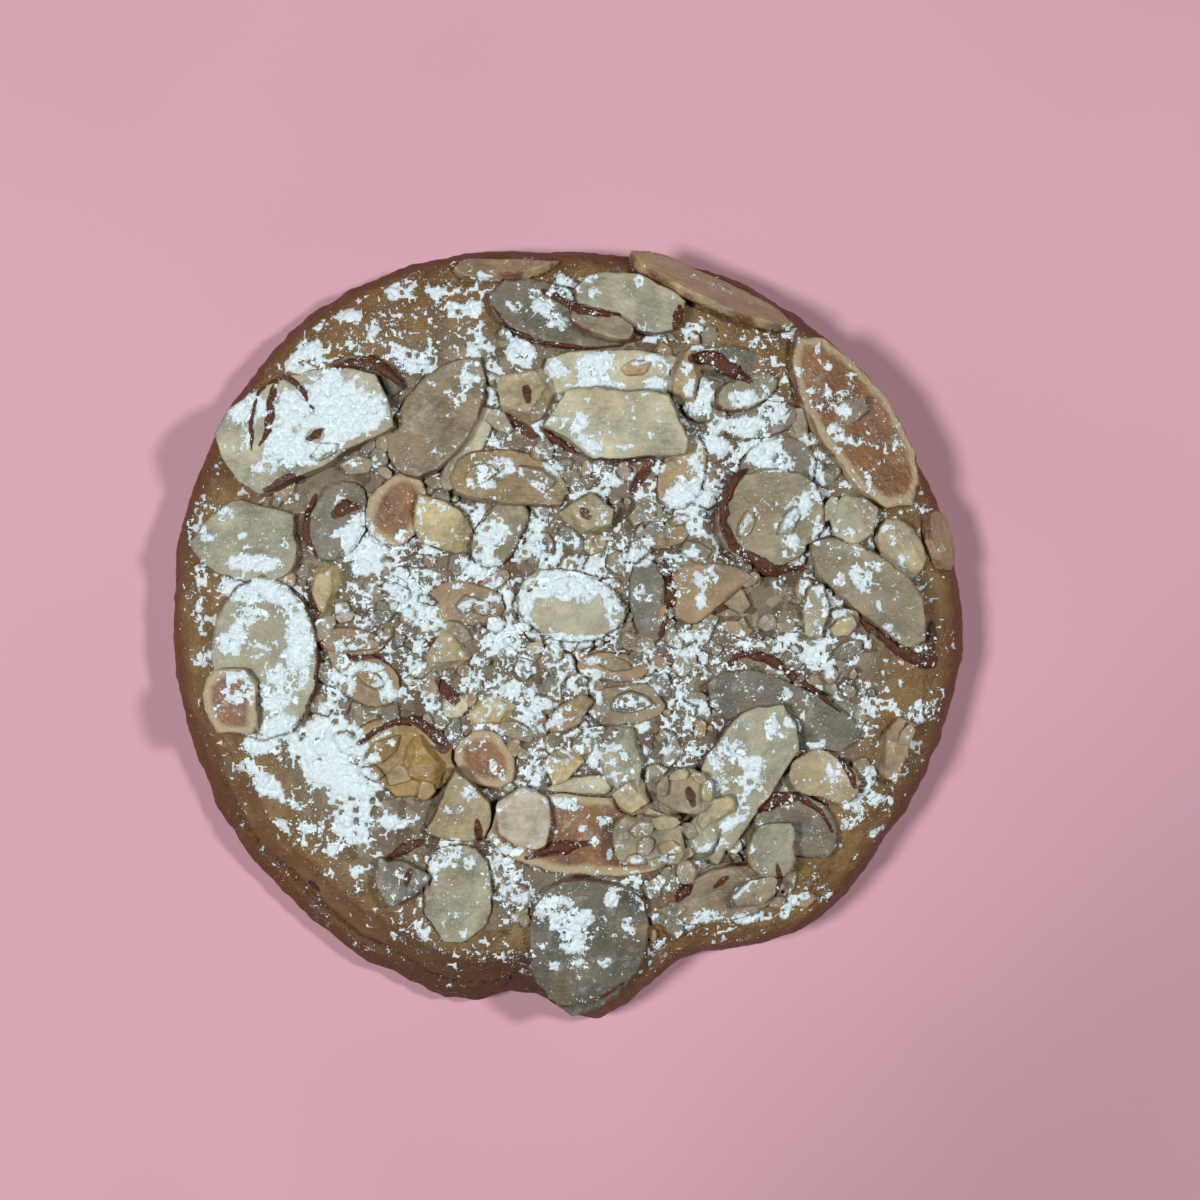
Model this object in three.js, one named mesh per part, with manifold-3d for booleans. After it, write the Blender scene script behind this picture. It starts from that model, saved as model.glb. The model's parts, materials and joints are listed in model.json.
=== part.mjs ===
// A round almond cookie: a low, spread disc of almond dough, baked brown at its rim, with flaked and
// chopped almonds lying on it, partly sunk in. Millimetres, +Z up. The origin is under the middle of
// the cookie's outline, on the surface that it lies on. Seen from above, +Y is north and +X is east.
import * as THREE from "three";
import { mergeVertices } from "three/addons/utils/BufferGeometryUtils.js";
import Module from "manifold-3d";

const wasm = await Module();
wasm.setup();

// Driving dimensions of the dough
const RIM_RADIUS = 44.3; // mean radius of the widest line
const DOUGH_HEIGHT = 12.2; // at the middle of the crown
const RIM_HEIGHT = 2.6; // of the widest line, where the wall turns under
const FOOT_INSET = 1.3; // how far the flat underside lies inside the widest line
const SHOULDER_POWER = 6; // higher is a flatter crown with a tighter shoulder
const BUMP = 0.3; // half the height of the slow swells on the crown
const SWELL_LENGTHS = { across: 27, along: 33, slant: 12.2 }; // from crest to crest
const SWELL_FADE = 4; // higher carries the swells closer to the rim

// Driving dimensions of the almonds
const FLAKE_THICK = 1.1;
const FLAKE_SINK = 0.6; // how far a flake that lies on the dough has sunk into it
const NARROWING = { oval: 0.9, egg: 0.65, teardrop: 0.45 }; // lower draws the narrow end to a sharper point
const BELLY = 0.667; // reach of the outline's handles, as a share of the width, that gives it that width
const SNAP_STRAIGHTNESS = 0.94; // 1 is a dead straight break, a little less bows out
const CHIP_SINK = 0.8; // how far a chopped piece is set into what it lies on
const CHIP_UNEVENNESS = 0.16; // how far its corners stand out or in, as a share of its half sizes
const GAP = 0.25; // clearance between separate pieces
const FOOTING = 0.86; // share of a flake's outline that has to be borne; a smaller overlap is cut away

// Fineness
const SPOKES = 78;
const CROWN_RINGS = 14;
const WALL_RINGS = 3;
const OUTLINE_POINTS = 16; // round a flake
const SHOULDER_BUNCHING = 0.55; // under 1 puts more rings near the shoulder
const LEAST_FOOTPRINT = 0.5; // mm2, twice the area of the smallest three-point footing that is tried
const CLOSENESS_WEIGHT = 0.05; // how much a close fit counts against a low middle
const ROUNDING = 1e-6; // slack for rounding errors
const WELD = 1e-4; // points closer than this are one

// Where the outline swells (+) or is drawn in (-): bearing and spread in degrees, depth in mm
const LOBES = [
  { bearing: 0, spread: 12, depth: 0.9 },
  { bearing: 40, spread: 10, depth: 1.0 },
  { bearing: 70, spread: 4, depth: 0.5 },
  { bearing: 88, spread: 14, depth: -0.7 },
  { bearing: 134, spread: 17, depth: 2.5 },
  { bearing: 180, spread: 22, depth: 0.9 },
  { bearing: 263, spread: 4.5, depth: -3.0 },
  { bearing: 277, spread: 5, depth: 0.6 },
  { bearing: 291, spread: 8, depth: -4.4 },
  { bearing: 319, spread: 13, depth: -0.8 },
];
const RIPPLES = [
  { count: 7, phase: 0.6, depth: 0.22 },
  { count: 17, phase: 2.1, depth: 0.14 },
  { count: 31, phase: 4.0, depth: 0.09 },
];
// The low skirt of dough that spread out past the crown, widest in the south-west, as shares of the radius
const SKIRT_EVERYWHERE = 0.008;
const SKIRT = { bearing: 228, spread: 26, share: 0.06 };
const SKIRT_RISE = 2.6; // height of the skirt over the widest line

const TONES = {
  dough: { color: 0x8a5f2c, roughness: 0.62 },
  ivory: { color: 0xd6cfae, roughness: 0.48 },
  grey: { color: 0xb0aa96, roughness: 0.45 },
  yellow: { color: 0xd8bf7d, roughness: 0.5 },
  tan: { color: 0xc39a62, roughness: 0.5 },
  toasted: { color: 0xa9692f, roughness: 0.5 },
};

// Flaked almonds from the lowest to the topmost: middle, length and width in mm, and the bearing of the
// narrow end. A snap is a straight break, by its bearing in the flake's own frame and its distance from the
// middle. lean and height set how far a flake tips outwards over the rim, and how high its middle lies.
const FLAKES = [
  {
    name: "flake_rim_north", outline: "oval", at: [-6.6, 40.9], long: 11.6, wide: 4.6, turn: 5, tone: "tan",
    lean: 46, height: 9.0,
  },
  {
    name: "flake_north_grey", outline: "teardrop", at: [-0.2, 35.1], long: 17.6, wide: 6.8, turn: -17,
    tone: "grey",
  },
  {
    name: "flake_north_sugared", outline: "oval", at: [5.8, 28.7], long: 19, wide: 5.8, turn: 0,
    tone: "ivory",
    snaps: [[0, 8.4], [180, 8.2]],
  },
  {
    name: "strip_northwest", outline: "oval", at: [-10.9, 20.6], long: 11.6, wide: 3.2, turn: 61,
    tone: "ivory",
    snaps: [[0, 5.0]],
  },
  {
    name: "flake_northwest_skin", outline: "egg", at: [-22.2, 28.3], long: 8.6, wide: 4.6, turn: -12,
    tone: "grey",
  },
  {
    name: "flake_west_upper", outline: "egg", at: [-35.2, 10.3], long: 14, wide: 9.6, turn: 183,
    tone: "ivory",
    snaps: [[178, 5.8]],
  },
  {
    name: "flake_west_round", outline: "oval", at: [-25.4, 12.6], long: 10, wide: 6.2, turn: 67,
    tone: "grey",
    snaps: [[15, 4.3]],
  },
  {
    name: "flake_east_behind", outline: "oval", at: [23.6, 18.2], long: 8.6, wide: 7.2, turn: 30,
    tone: "grey",
    snaps: [[-110, 3.0]],
  },
  {
    name: "flake_centre_grey", outline: "oval", at: [9.2, 3.4], long: 9.4, wide: 4.4, turn: 95,
    tone: "grey",
  },
  {
    name: "flake_east_yellow", outline: "oval", at: [37.3, 9.4], long: 7.2, wide: 5.2, turn: 118,
    tone: "yellow",
  },
  {
    name: "flake_rim_east_small", outline: "oval", at: [41.7, 10.2], long: 6.8, wide: 4.4, turn: -74,
    tone: "tan",
    lean: 50, height: 7.6,
  },
  {
    name: "flake_southeast_long", outline: "oval", at: [24.2, -8.8], long: 19, wide: 7, turn: -20,
    tone: "grey",
    snaps: [[-10, 8.7]],
  },
  {
    name: "flake_southeast_dark", outline: "oval", at: [25.7, -21.8], long: 9.8, wide: 7.4, turn: -24,
    tone: "grey",
    snaps: [[-72, 2.9]],
  },
  {
    name: "slab_southeast", outline: "oval", at: [18.3, -29.0], long: 13.4, wide: 6.2, turn: 17,
    tone: "grey",
    snaps: [[0, 6.0], [196, 6.0]],
  },
  {
    name: "flake_south_rim", outline: "egg", at: [2.3, -34.7], long: 17, wide: 13.4, turn: -100,
    tone: "grey",
    snaps: [[180, 7.4]],
  },
  {
    name: "flake_southwest_skin", outline: "oval", at: [-18.0, -13.8], long: 12, wide: 9.2, turn: -8,
    tone: "yellow",
    snaps: [[-125, 3.9]],
  },
  {
    name: "flake_southwest_large", outline: "oval", at: [-12.0, -29.2], long: 12.6, wide: 8, turn: -92,
    tone: "ivory",
    snaps: [[0, 5.7], [180, 5.4]],
  },
  {
    name: "flake_west_inner", outline: "oval", at: [-21.8, -5.4], long: 7.0, wide: 5.2, turn: -30,
    tone: "tan",
  },
  { name: "sliver_west", outline: "oval", at: [-24.0, -1.0], long: 7.4, wide: 3, turn: -4, tone: "tan" },
  {
    name: "flake_south_inner", outline: "oval", at: [6.6, -8.0], long: 9.2, wide: 4.8, turn: 8,
    tone: "grey",
  },
  {
    name: "flake_centre_lower", outline: "oval", at: [5.3, -3.9], long: 7.8, wide: 3.4, turn: -4,
    tone: "tan",
  },
  {
    name: "flake_northeast_tan", outline: "oval", at: [13.0, 18.0], long: 9, wide: 5, turn: 72,
    tone: "tan",
  },
  {
    name: "flake_northeast_small", outline: "oval", at: [15.6, 26.2], long: 5.8, wide: 4.6, turn: 48,
    tone: "grey",
  },
  {
    name: "flake_northeast_grey", outline: "oval", at: [21.6, 23.6], long: 8.4, wide: 4, turn: 14,
    tone: "grey",
  },
  {
    name: "flake_northeast_sugared", outline: "oval", at: [20, 26.9], long: 7.4, wide: 3.6, turn: 20,
    tone: "ivory",
  },
  {
    name: "flake_centre_west", outline: "oval", at: [-7.4, 11.2], long: 8.6, wide: 5, turn: 58,
    tone: "ivory",
  },
  {
    name: "flake_centre_southwest", outline: "oval", at: [-11, 3.2], long: 8.4, wide: 5.2, turn: -6,
    tone: "tan",
  },
  {
    name: "flake_centre_tan", outline: "oval", at: [-6.4, 16.4], long: 13.2, wide: 7.6, turn: -5,
    tone: "tan",
    snaps: [[-88, 2.1]],
  },
  {
    name: "flake_southwest_tan", outline: "egg", at: [-8.8, -14.2], long: 7.6, wide: 6, turn: -40,
    tone: "toasted",
  },
  {
    name: "sliver_south", outline: "teardrop", at: [1.6, -17.2], long: 7.4, wide: 2.6, turn: 184,
    tone: "ivory",
  },
  {
    name: "flake_rim_east", outline: "oval", at: [32.0, 23.4], long: 22.8, wide: 9.7, turn: 125,
    tone: "toasted",
    thick: 1.4,
  },
  {
    name: "flake_rim_northeast", outline: "oval", at: [16.0, 37.9], long: 20, wide: 6.4, turn: -29,
    tone: "tan",
    lean: 58, height: 9.2,
  },
  {
    name: "flake_north_ivory", outline: "oval", at: [7.4, 36.6], long: 13, wide: 6.4, turn: -15,
    tone: "ivory",
    lean: 15, height: 11.3, snaps: [[-12, 5.5]],
  },
  {
    name: "chunk_north", outline: "oval", at: [4.2, 34.0], long: 7.6, wide: 3, turn: -18, tone: "ivory",
    thick: 1.6, lean: 12, height: 12.3, snaps: [[0, 3.3]],
  },
  {
    name: "slab_north", outline: "oval", at: [5.8, 23.4], long: 19, wide: 9.4, turn: -5,
    tone: "ivory", thick: 1.8,
    snaps: [[31, 6.4], [95, 3.7], [152, 6.6]],
  },
  {
    name: "flake_northwest_taupe", outline: "egg", at: [-14, 24], long: 15.6, wide: 8.6, turn: 56,
    tone: "grey",
  },
  {
    name: "slab_northwest", outline: "oval", at: [-28.9, 22.3], long: 22.2, wide: 13, turn: 19,
    tone: "ivory",
    thick: 2.0, lean: 9, height: 11.3, snaps: [[4, 9.8], [-82, 4.3], [197, 9.3]],
  },
  {
    name: "flake_west_large", outline: "oval", at: [-33.4, -2.8], long: 18.2, wide: 12.4, turn: 92,
    tone: "ivory",
    thick: 1.5,
  },
  {
    name: "flake_west_toasted", outline: "oval", at: [-36.8, -8.0], long: 8.6, wide: 6.8, turn: -80,
    tone: "toasted",
    snaps: [[-20, 3.7]],
  },
  {
    name: "flake_west_tan", outline: "oval", at: [-18.9, 13.6], long: 9, wide: 6.2, turn: 65,
    tone: "toasted",
    snaps: [[180, 3.7]],
  },
  {
    name: "slab_centre", outline: "oval", at: [0.5, 3], long: 12, wide: 8, turn: -10,
    tone: "ivory", thick: 1.6,
  },
  {
    name: "flake_east_round", outline: "oval", at: [22.6, 13.0], long: 12.4, wide: 10.8, turn: 13,
    tone: "tan",
    thick: 1.4,
  },
  {
    name: "wedge_east", outline: "teardrop", at: [16, 4.6], long: 10, wide: 7, turn: 14,
    tone: "tan", thick: 2.1,
    snaps: [[-58, 2.3], [170, 4.0]],
  },
  {
    name: "flake_east_large", outline: "oval", at: [34.0, 4.5], long: 17.6, wide: 8, turn: -37,
    tone: "ivory",
    thick: 1.4, snaps: [[37, 6.0]],
  },
  {
    name: "flake_southeast_broad", outline: "oval", at: [19.8, -16], long: 18, wide: 10, turn: 63,
    tone: "yellow",
    thick: 1.3, snaps: [[117, 5.0], [-96, 3.2]],
  },
  {
    name: "chunk_southeast", outline: "oval", at: [28.7, -16.2], long: 8.2, wide: 5.8, turn: -25,
    tone: "yellow",
    thick: 2.0, snaps: [[-82, 2.3], [150, 3.4]],
  },
  {
    name: "flake_southeast_upper", outline: "oval", at: [23.1, -23.7], long: 7.2, wide: 5.8, turn: 60,
    tone: "ivory",
    snaps: [[-60, 2.3], [30, 2.6]],
  },
  {
    name: "flake_south_toasted", outline: "oval", at: [2.4, -22.5], long: 23.6, wide: 9, turn: -4,
    tone: "toasted",
    thick: 1.5,
  },
  {
    name: "chunk_south", outline: "oval", at: [9.4, -23.0], long: 10, wide: 6.8, turn: -2,
    tone: "yellow", thick: 1.8,
    snaps: [[0, 3.8], [80, 2.5], [180, 3.8], [-95, 2.6]],
  },
  {
    name: "wedge_southwest", outline: "teardrop", at: [-12.2, -18.9], long: 10, wide: 8, turn: 86,
    tone: "ivory",
    thick: 1.5, snaps: [[185, 3.9]],
  },
];

// Chopped pieces, each fused to whatever it lies on. rise is how far it stands up.
const CHIPS = [
  { at: [-4.4, 26.4], long: 5.6, wide: 5.0, rise: 2.6, turn: 20 },
  { at: [13.4, 28.3], long: 5.0, wide: 3.2, rise: 1.8, turn: 80 },
  { at: [-14.2, 12.4], long: 5.8, wide: 4.4, rise: 1.4, turn: -58 },
  { at: [-27.1, 4.9], long: 4.8, wide: 3.4, rise: 1.8, turn: 75 },
  { at: [2.8, 13.4], long: 4.9, wide: 4.4, rise: 2.4, turn: 40 },
  { at: [32.2, 12.8], long: 5.6, wide: 4.2, rise: 1.3, turn: 80 },
  { at: [36.4, -12.8], long: 6.0, wide: 3.6, rise: 2.0, turn: 70 },
  { at: [-4.4, -20.8], long: 6.2, wide: 5.6, rise: 1.1, turn: 60 },
  { at: [7.5, -18.4], long: 3.8, wide: 3.4, rise: 2.2, turn: 10 },
  { at: [13.2, -17.6], long: 6.2, wide: 4.6, rise: 2.0, turn: -20 },
  { at: [16.9, -19.6], long: 4.2, wide: 2.6, rise: 1.6, turn: 25 },
  { at: [15.0, -22.4], long: 5.0, wide: 3.4, rise: 1.4, turn: 80 },
  { at: [-0.4, -15.0], long: 4.0, wide: 3.6, rise: 1.6, turn: 30 },
  { at: [6.4, -14.2], long: 6.0, wide: 4.6, rise: 1.5, turn: 88 },
  { at: [-15.6, -14.6], long: 5.2, wide: 3.6, rise: 1.4, turn: -60 },
  { at: [-18.6, -27.6], long: 5.8, wide: 4.8, rise: 1.3, turn: -20 },
  { at: [-13.4, -2.2], long: 5.2, wide: 4.6, rise: 2.0, turn: 50 },
  { at: [-8.2, -8.4], long: 4.6, wide: 3.0, rise: 1.6, turn: 10 },
  { at: [0.0, -9.4], long: 6.2, wide: 2.8, rise: 1.3, turn: 40 },
  { at: [17.6, 30.0], long: 5.8, wide: 3.4, rise: 1.4, turn: -12 },
  { at: [27.6, 2.6], long: 5.8, wide: 3.4, rise: 1.3, turn: 86 },
  { at: [21.2, -28.8], long: 5.6, wide: 2.6, rise: 1.1, turn: 24 },
  { at: [30.6, 0.4], long: 2.8, wide: 2.2, rise: 1.1, turn: 30 },
];

const radians = THREE.MathUtils.degToRad;

// A bell of height 1 around a bearing, both in degrees.
function bell(bearing, centre, spread) {
  const away = ((bearing - centre + 540) % 360) - 180;
  return Math.exp(-0.5 * (away / spread) ** 2);
}

// Radius of the cookie's widest line at an angle in radians.
function outlineRadius(angle) {
  const bearing = (THREE.MathUtils.radToDeg(angle) + 360) % 360;
  let radius = RIM_RADIUS;
  for (const lobe of LOBES) radius += lobe.depth * bell(bearing, lobe.bearing, lobe.spread);
  for (const ripple of RIPPLES) radius += ripple.depth * Math.sin(ripple.count * angle + ripple.phase);
  return radius;
}

// Slow swells of the crown, which die away at the rim.
function swell(x, y, share) {
  const turns = (distance, length) => (2 * Math.PI * distance) / length;
  const broad = Math.cos(turns(x, SWELL_LENGTHS.across)) * Math.cos(turns(y, SWELL_LENGTHS.along));
  const slant = Math.sin(turns((4 * y - 3 * x) / 5, SWELL_LENGTHS.slant));
  return BUMP * (broad + slant / 2) * Math.max(0, 1 - share ** SWELL_FADE);
}

// Height of the dough's upper surface, from its share of the way out to the widest line: the crown's rounded
// shoulder stands on the rounded skirt.
function crownHeight(share, angle) {
  const bearing = (THREE.MathUtils.radToDeg(angle) + 360) % 360;
  const skirt = SKIRT_EVERYWHERE + SKIRT.share * bell(bearing, SKIRT.bearing, SKIRT.spread);
  const alongSkirt = Math.max(0, share - (1 - skirt)) / skirt;
  const alongCrown = Math.min(1, share / (1 - skirt));
  const skirtTop = RIM_HEIGHT + SKIRT_RISE * Math.sqrt(1 - Math.min(1, alongSkirt) ** 2);
  const crown = DOUGH_HEIGHT - RIM_HEIGHT - SKIRT_RISE;
  return skirtTop + crown * Math.sqrt(1 - alongCrown ** SHOULDER_POWER);
}

function doughTop(x, y) {
  const angle = Math.atan2(y, x);
  const share = Math.min(1, Math.hypot(x, y) / outlineRadius(angle));
  return crownHeight(share, angle) + swell(x, y, share);
}

// A closed geometry, moved by a matrix, as a solid for joining and cutting.
function toSolid(geometry, matrix = new THREE.Matrix4()) {
  const source = geometry.index ? geometry.toNonIndexed() : geometry;
  const bare = new THREE.BufferGeometry();
  bare.setAttribute("position", source.getAttribute("position").clone());
  const merged = mergeVertices(bare.applyMatrix4(matrix), WELD);
  const corners = merged.index.array;
  const triVerts = [];
  for (let i = 0; i < corners.length; i += 3) {
    const [a, b, c] = corners.slice(i, i + 3);
    if (a !== b && b !== c && c !== a) triVerts.push(a, b, c);
  }
  const mesh = new wasm.Mesh({
    numProp: 3,
    vertProperties: merged.getAttribute("position").array,
    triVerts: Uint32Array.from(triVerts),
  });
  return new wasm.Manifold(mesh);
}

// The largest body of a solid, as a geometry in the frame of a placement.
function toGeometry(solid, placement) {
  const bodies = solid.decompose().sort((a, b) => b.volume() - a.volume());
  const mesh = bodies[0].getMesh();
  const geometry = new THREE.BufferGeometry();
  geometry.setAttribute("position", new THREE.BufferAttribute(mesh.vertProperties, 3));
  geometry.setIndex(new THREE.BufferAttribute(mesh.triVerts, 1));
  geometry.applyMatrix4(placement.clone().invert());
  geometry.computeVertexNormals();
  return geometry;
}

// The dough: a lathe in shares of the radius, then spread to the outline and swelled.
function doughSolid() {
  const profile = [new THREE.Vector2(0, 0)];
  for (let ring = 0; ring < WALL_RINGS; ring++) {
    const turn = (ring / WALL_RINGS) * (Math.PI / 2);
    const inset = (FOOT_INSET / RIM_RADIUS) * (1 - Math.sin(turn));
    profile.push(new THREE.Vector2(1 - inset, RIM_HEIGHT * (1 - Math.cos(turn))));
  }
  for (let ring = 0; ring < CROWN_RINGS; ring++) {
    const share = 1 - (ring / CROWN_RINGS) ** (1 / SHOULDER_BUNCHING);
    profile.push(new THREE.Vector2(share, crownHeight(share, 0)));
  }
  profile.push(new THREE.Vector2(0, DOUGH_HEIGHT));
  const geometry = new THREE.LatheGeometry(profile, SPOKES).rotateX(Math.PI / 2);
  const points = geometry.getAttribute("position");
  for (let i = 0; i < points.count; i++) {
    const angle = Math.atan2(points.getY(i), points.getX(i));
    const share = Math.hypot(points.getX(i), points.getY(i));
    const x = share * outlineRadius(angle) * Math.cos(angle);
    const y = share * outlineRadius(angle) * Math.sin(angle);
    const onCrown = points.getZ(i) >= RIM_HEIGHT - ROUNDING;
    points.setXYZ(i, x, y, onCrown ? doughTop(x, y) : points.getZ(i));
  }
  return toSolid(geometry);
}

// Outline of a flake about its middle, broken straight across at each snap and grown outwards by a margin.
function flakeOutline(flake, margin = 0) {
  const half = flake.long / 2;
  const narrowing = NARROWING[flake.outline] * half;
  const belly = BELLY * flake.wide;
  const shape = new THREE.Shape();
  shape.moveTo(-half, 0);
  shape.bezierCurveTo(-half, -belly, narrowing, -belly, half, 0);
  shape.bezierCurveTo(narrowing, belly, -half, belly, -half, 0);
  const points = shape.getSpacedPoints(OUTLINE_POINTS).slice(0, OUTLINE_POINTS);
  for (const [bearing, distance] of flake.snaps ?? []) {
    const across = new THREE.Vector2(1, 0).rotateAround(new THREE.Vector2(), radians(bearing));
    for (const point of points) {
      const past = Math.max(0, point.dot(across) - distance);
      point.addScaledVector(across, -past * SNAP_STRAIGHTNESS);
    }
  }
  for (const point of points) point.setLength(point.length() + margin);
  return points;
}

// A flat flake lying in its own XY plane, its underside at z = 0, grown all round by a margin.
function flakeGeometry(flake, margin = 0) {
  const depth = (flake.thick ?? FLAKE_THICK) + 2 * margin;
  const shape = new THREE.Shape(flakeOutline(flake, margin));
  return new THREE.ExtrudeGeometry(shape, { depth, bevelEnabled: false }).translate(0, 0, -margin);
}

// True if a point of the plan lies inside a placed flake's outline.
function covers(flake, x, y) {
  const local = new THREE.Vector2(x - flake.at[0], y - flake.at[1]).rotateAround(
    new THREE.Vector2(), -radians(flake.turn));
  const reach = flake.cover;
  let inside = false;
  for (let i = 0, j = reach.length - 1; i < reach.length; j = i++) {
    const [a, b] = [reach[i], reach[j]];
    const crosses = a.y > local.y !== b.y > local.y;
    if (crosses && local.x < ((b.x - a.x) * (local.y - a.y)) / (b.y - a.y) + a.x) inside = !inside;
  }
  return inside;
}

// The upper side of a placed flake over a point of the plan.
function flakeTop(flake, x, y) {
  const [slopeX, slopeY] = flake.slope;
  const underside = flake.base + slopeX * (x - flake.at[0]) + slopeY * (y - flake.at[1]);
  return underside + (flake.thick ?? FLAKE_THICK) * Math.hypot(1, slopeX, slopeY);
}

// The topmost thing under a point of the plan: the flake, if any, and its height.
function support(placed, x, y) {
  let found = { flake: null, height: doughTop(x, y) };
  for (const flake of placed) {
    if (!covers(flake, x, y)) continue;
    const height = flakeTop(flake, x, y);
    if (height > found.height) found = { flake, height };
  }
  return found;
}

// The plane that a stiff flake comes to rest on, as its height at the middle and its two slopes: of all
// planes through three of the points that have no point above them, the lowest at the middle, and among
// those about as low the one that lies closest to all the points.
function restingPlane(points) {
  let best = { score: Infinity };
  const count = points.length;
  for (let i = 0; i < count; i++)
    for (let j = i + 1; j < count; j++)
      for (let k = j + 1; k < count; k++) {
        const [p, q, r] = [points[i], points[j], points[k]];
        const [ax, ay, az] = [q.x - p.x, q.y - p.y, q.z - p.z];
        const [bx, by, bz] = [r.x - p.x, r.y - p.y, r.z - p.z];
        const area = ax * by - ay * bx;
        if (Math.abs(area) < LEAST_FOOTPRINT) continue;
        const slopeX = (az * by - ay * bz) / area;
        const slopeY = (ax * bz - az * bx) / area;
        const base = p.z - slopeX * p.x - slopeY * p.y;
        const gaps = points.map((s) => base + slopeX * s.x + slopeY * s.y - s.z);
        if (Math.min(...gaps) < -ROUNDING) continue;
        const spread = gaps.reduce((sum, gap) => sum + gap * gap, 0) / count;
        const score = base + CLOSENESS_WEIGHT * spread;
        if (score < best.score) best = { score, base, slope: [slopeX, slopeY] };
      }
  return best;
}

// Lays a flake on the dough and on the flakes placed before it.
function layFlake(flake, placed) {
  const [x, y] = flake.at;
  flake.cover = flakeOutline(flake);
  const rim = flakeOutline(flake).map((p) => p.rotateAround(new THREE.Vector2(), radians(flake.turn)));
  const outer = rim.map((p) => p.clone().multiplyScalar(FOOTING));
  const inner = rim.map((p) => p.clone().multiplyScalar(FOOTING / 2));
  const points = [new THREE.Vector2(), ...inner, ...outer].map((p) => {
    const below = support(placed, x + p.x, y + p.y);
    return new THREE.Vector3(p.x, p.y, below.flake ? below.height + GAP : below.height - FLAKE_SINK);
  });
  return restingPlane(points);
}

// A flake that tips outwards over the rim by a set angle.
function leanFlake(flake) {
  const outward = new THREE.Vector2(...flake.at).normalize().multiplyScalar(-Math.tan(radians(flake.lean)));
  flake.cover = flakeOutline({ ...flake, wide: flake.wide * Math.cos(radians(flake.lean)) });
  return { base: flake.height, slope: [outward.x, outward.y] };
}

// The placement that takes a flake from its own frame onto its plane.
function placementOf(flake) {
  const [slopeX, slopeY] = flake.slope;
  const up = new THREE.Vector3(-slopeX, -slopeY, 1).normalize();
  const heading = new THREE.Vector3(Math.cos(radians(flake.turn)), Math.sin(radians(flake.turn)), 0);
  const along = heading.addScaledVector(up, -heading.dot(up)).normalize();
  const across = new THREE.Vector3().crossVectors(up, along);
  return new THREE.Matrix4().makeBasis(along, across, up).setPosition(...flake.at, flake.base);
}

// A chopped piece: an angular lump of twenty facets, its corners pushed in and out by turns.
function chipGeometry(chip, margin = 0) {
  const geometry = new THREE.IcosahedronGeometry(1, 0);
  const points = geometry.getAttribute("position");
  for (let i = 0; i < points.count; i++) {
    const corner = new THREE.Vector3().fromBufferAttribute(points, i);
    const phase = 5 * corner.x + 3 * corner.y + 7 * corner.z + chip.long + chip.turn;
    const push = 1 + CHIP_UNEVENNESS * Math.sin(phase);
    points.setXYZ(i, corner.x * push, corner.y * push, corner.z * push);
  }
  const height = chip.rise + CHIP_SINK;
  return geometry.scale(chip.long / 2 + margin, chip.wide / 2 + margin, height / 2 + margin);
}

function chipPlacement(chip, height) {
  const middle = height + (chip.rise - CHIP_SINK) / 2;
  return new THREE.Matrix4().makeRotationZ(radians(chip.turn)).setPosition(...chip.at, middle);
}

function material(tone) {
  return new THREE.MeshStandardMaterial({ ...TONES[tone], metalness: 0 });
}

// Lay the flakes one on another, each with a grown copy that others keep clear of.
const placed = [];
for (const flake of FLAKES) {
  Object.assign(flake, flake.lean ? leanFlake(flake) : layFlake(flake, placed));
  flake.placement = placementOf(flake);
  flake.solid = toSolid(flakeGeometry(flake), flake.placement);
  flake.grown = toSolid(flakeGeometry(flake, GAP), flake.placement);
  placed.push(flake);
}
placed.forEach((lower, i) => {
  for (const upper of placed.slice(i + 1)) lower.solid = lower.solid.subtract(upper.grown);
});

// Press the flakes into the dough, then fuse each chopped piece to what it lies on.
let dough = doughSolid();
for (const flake of placed) dough = dough.subtract(flake.grown);
for (const chip of CHIPS) {
  const { flake: host, height } = support(placed, ...chip.at);
  const placement = chipPlacement(chip, height);
  let lump = toSolid(chipGeometry(chip), placement);
  for (const other of placed) if (other !== host) lump = lump.subtract(other.grown);
  if (host) {
    dough = dough.subtract(toSolid(chipGeometry(chip, GAP), placement));
    host.solid = host.solid.add(lump);
  } else dough = dough.add(lump);
}

// The scene graph: the dough, and the topping laid on it.
const cookie = new THREE.Group();
const doughMesh = new THREE.Mesh(toGeometry(dough, new THREE.Matrix4()), material("dough"));
doughMesh.name = "dough";
const topping = new THREE.Group();
for (const flake of placed) {
  const mesh = new THREE.Mesh(toGeometry(flake.solid, flake.placement), material(flake.tone));
  mesh.name = flake.name;
  mesh.applyMatrix4(flake.placement);
  topping.add(mesh);
}
cookie.add(doughMesh, topping);

// Bring the middle of the finished outline over the origin.
const middle = new THREE.Box3().setFromObject(cookie).getCenter(new THREE.Vector3());
for (const child of cookie.children) child.position.set(-middle.x, -middle.y, 0);

export default cookie;
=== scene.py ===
# %% [markdown]
# # An almond cookie, dressed for its portrait
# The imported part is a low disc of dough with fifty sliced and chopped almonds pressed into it. Its solids
# have the right places and sizes, but flat faces and one plain colour each. This lesson gives them a baked
# crust, translucent nut flesh, brown skins and a dusting of powdered sugar.

# %% Load the part
import json
import math
import random

import bmesh
import bpy
import numpy as np
from mathutils import Matrix, Vector
from mathutils.bvhtree import BVHTree


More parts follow.
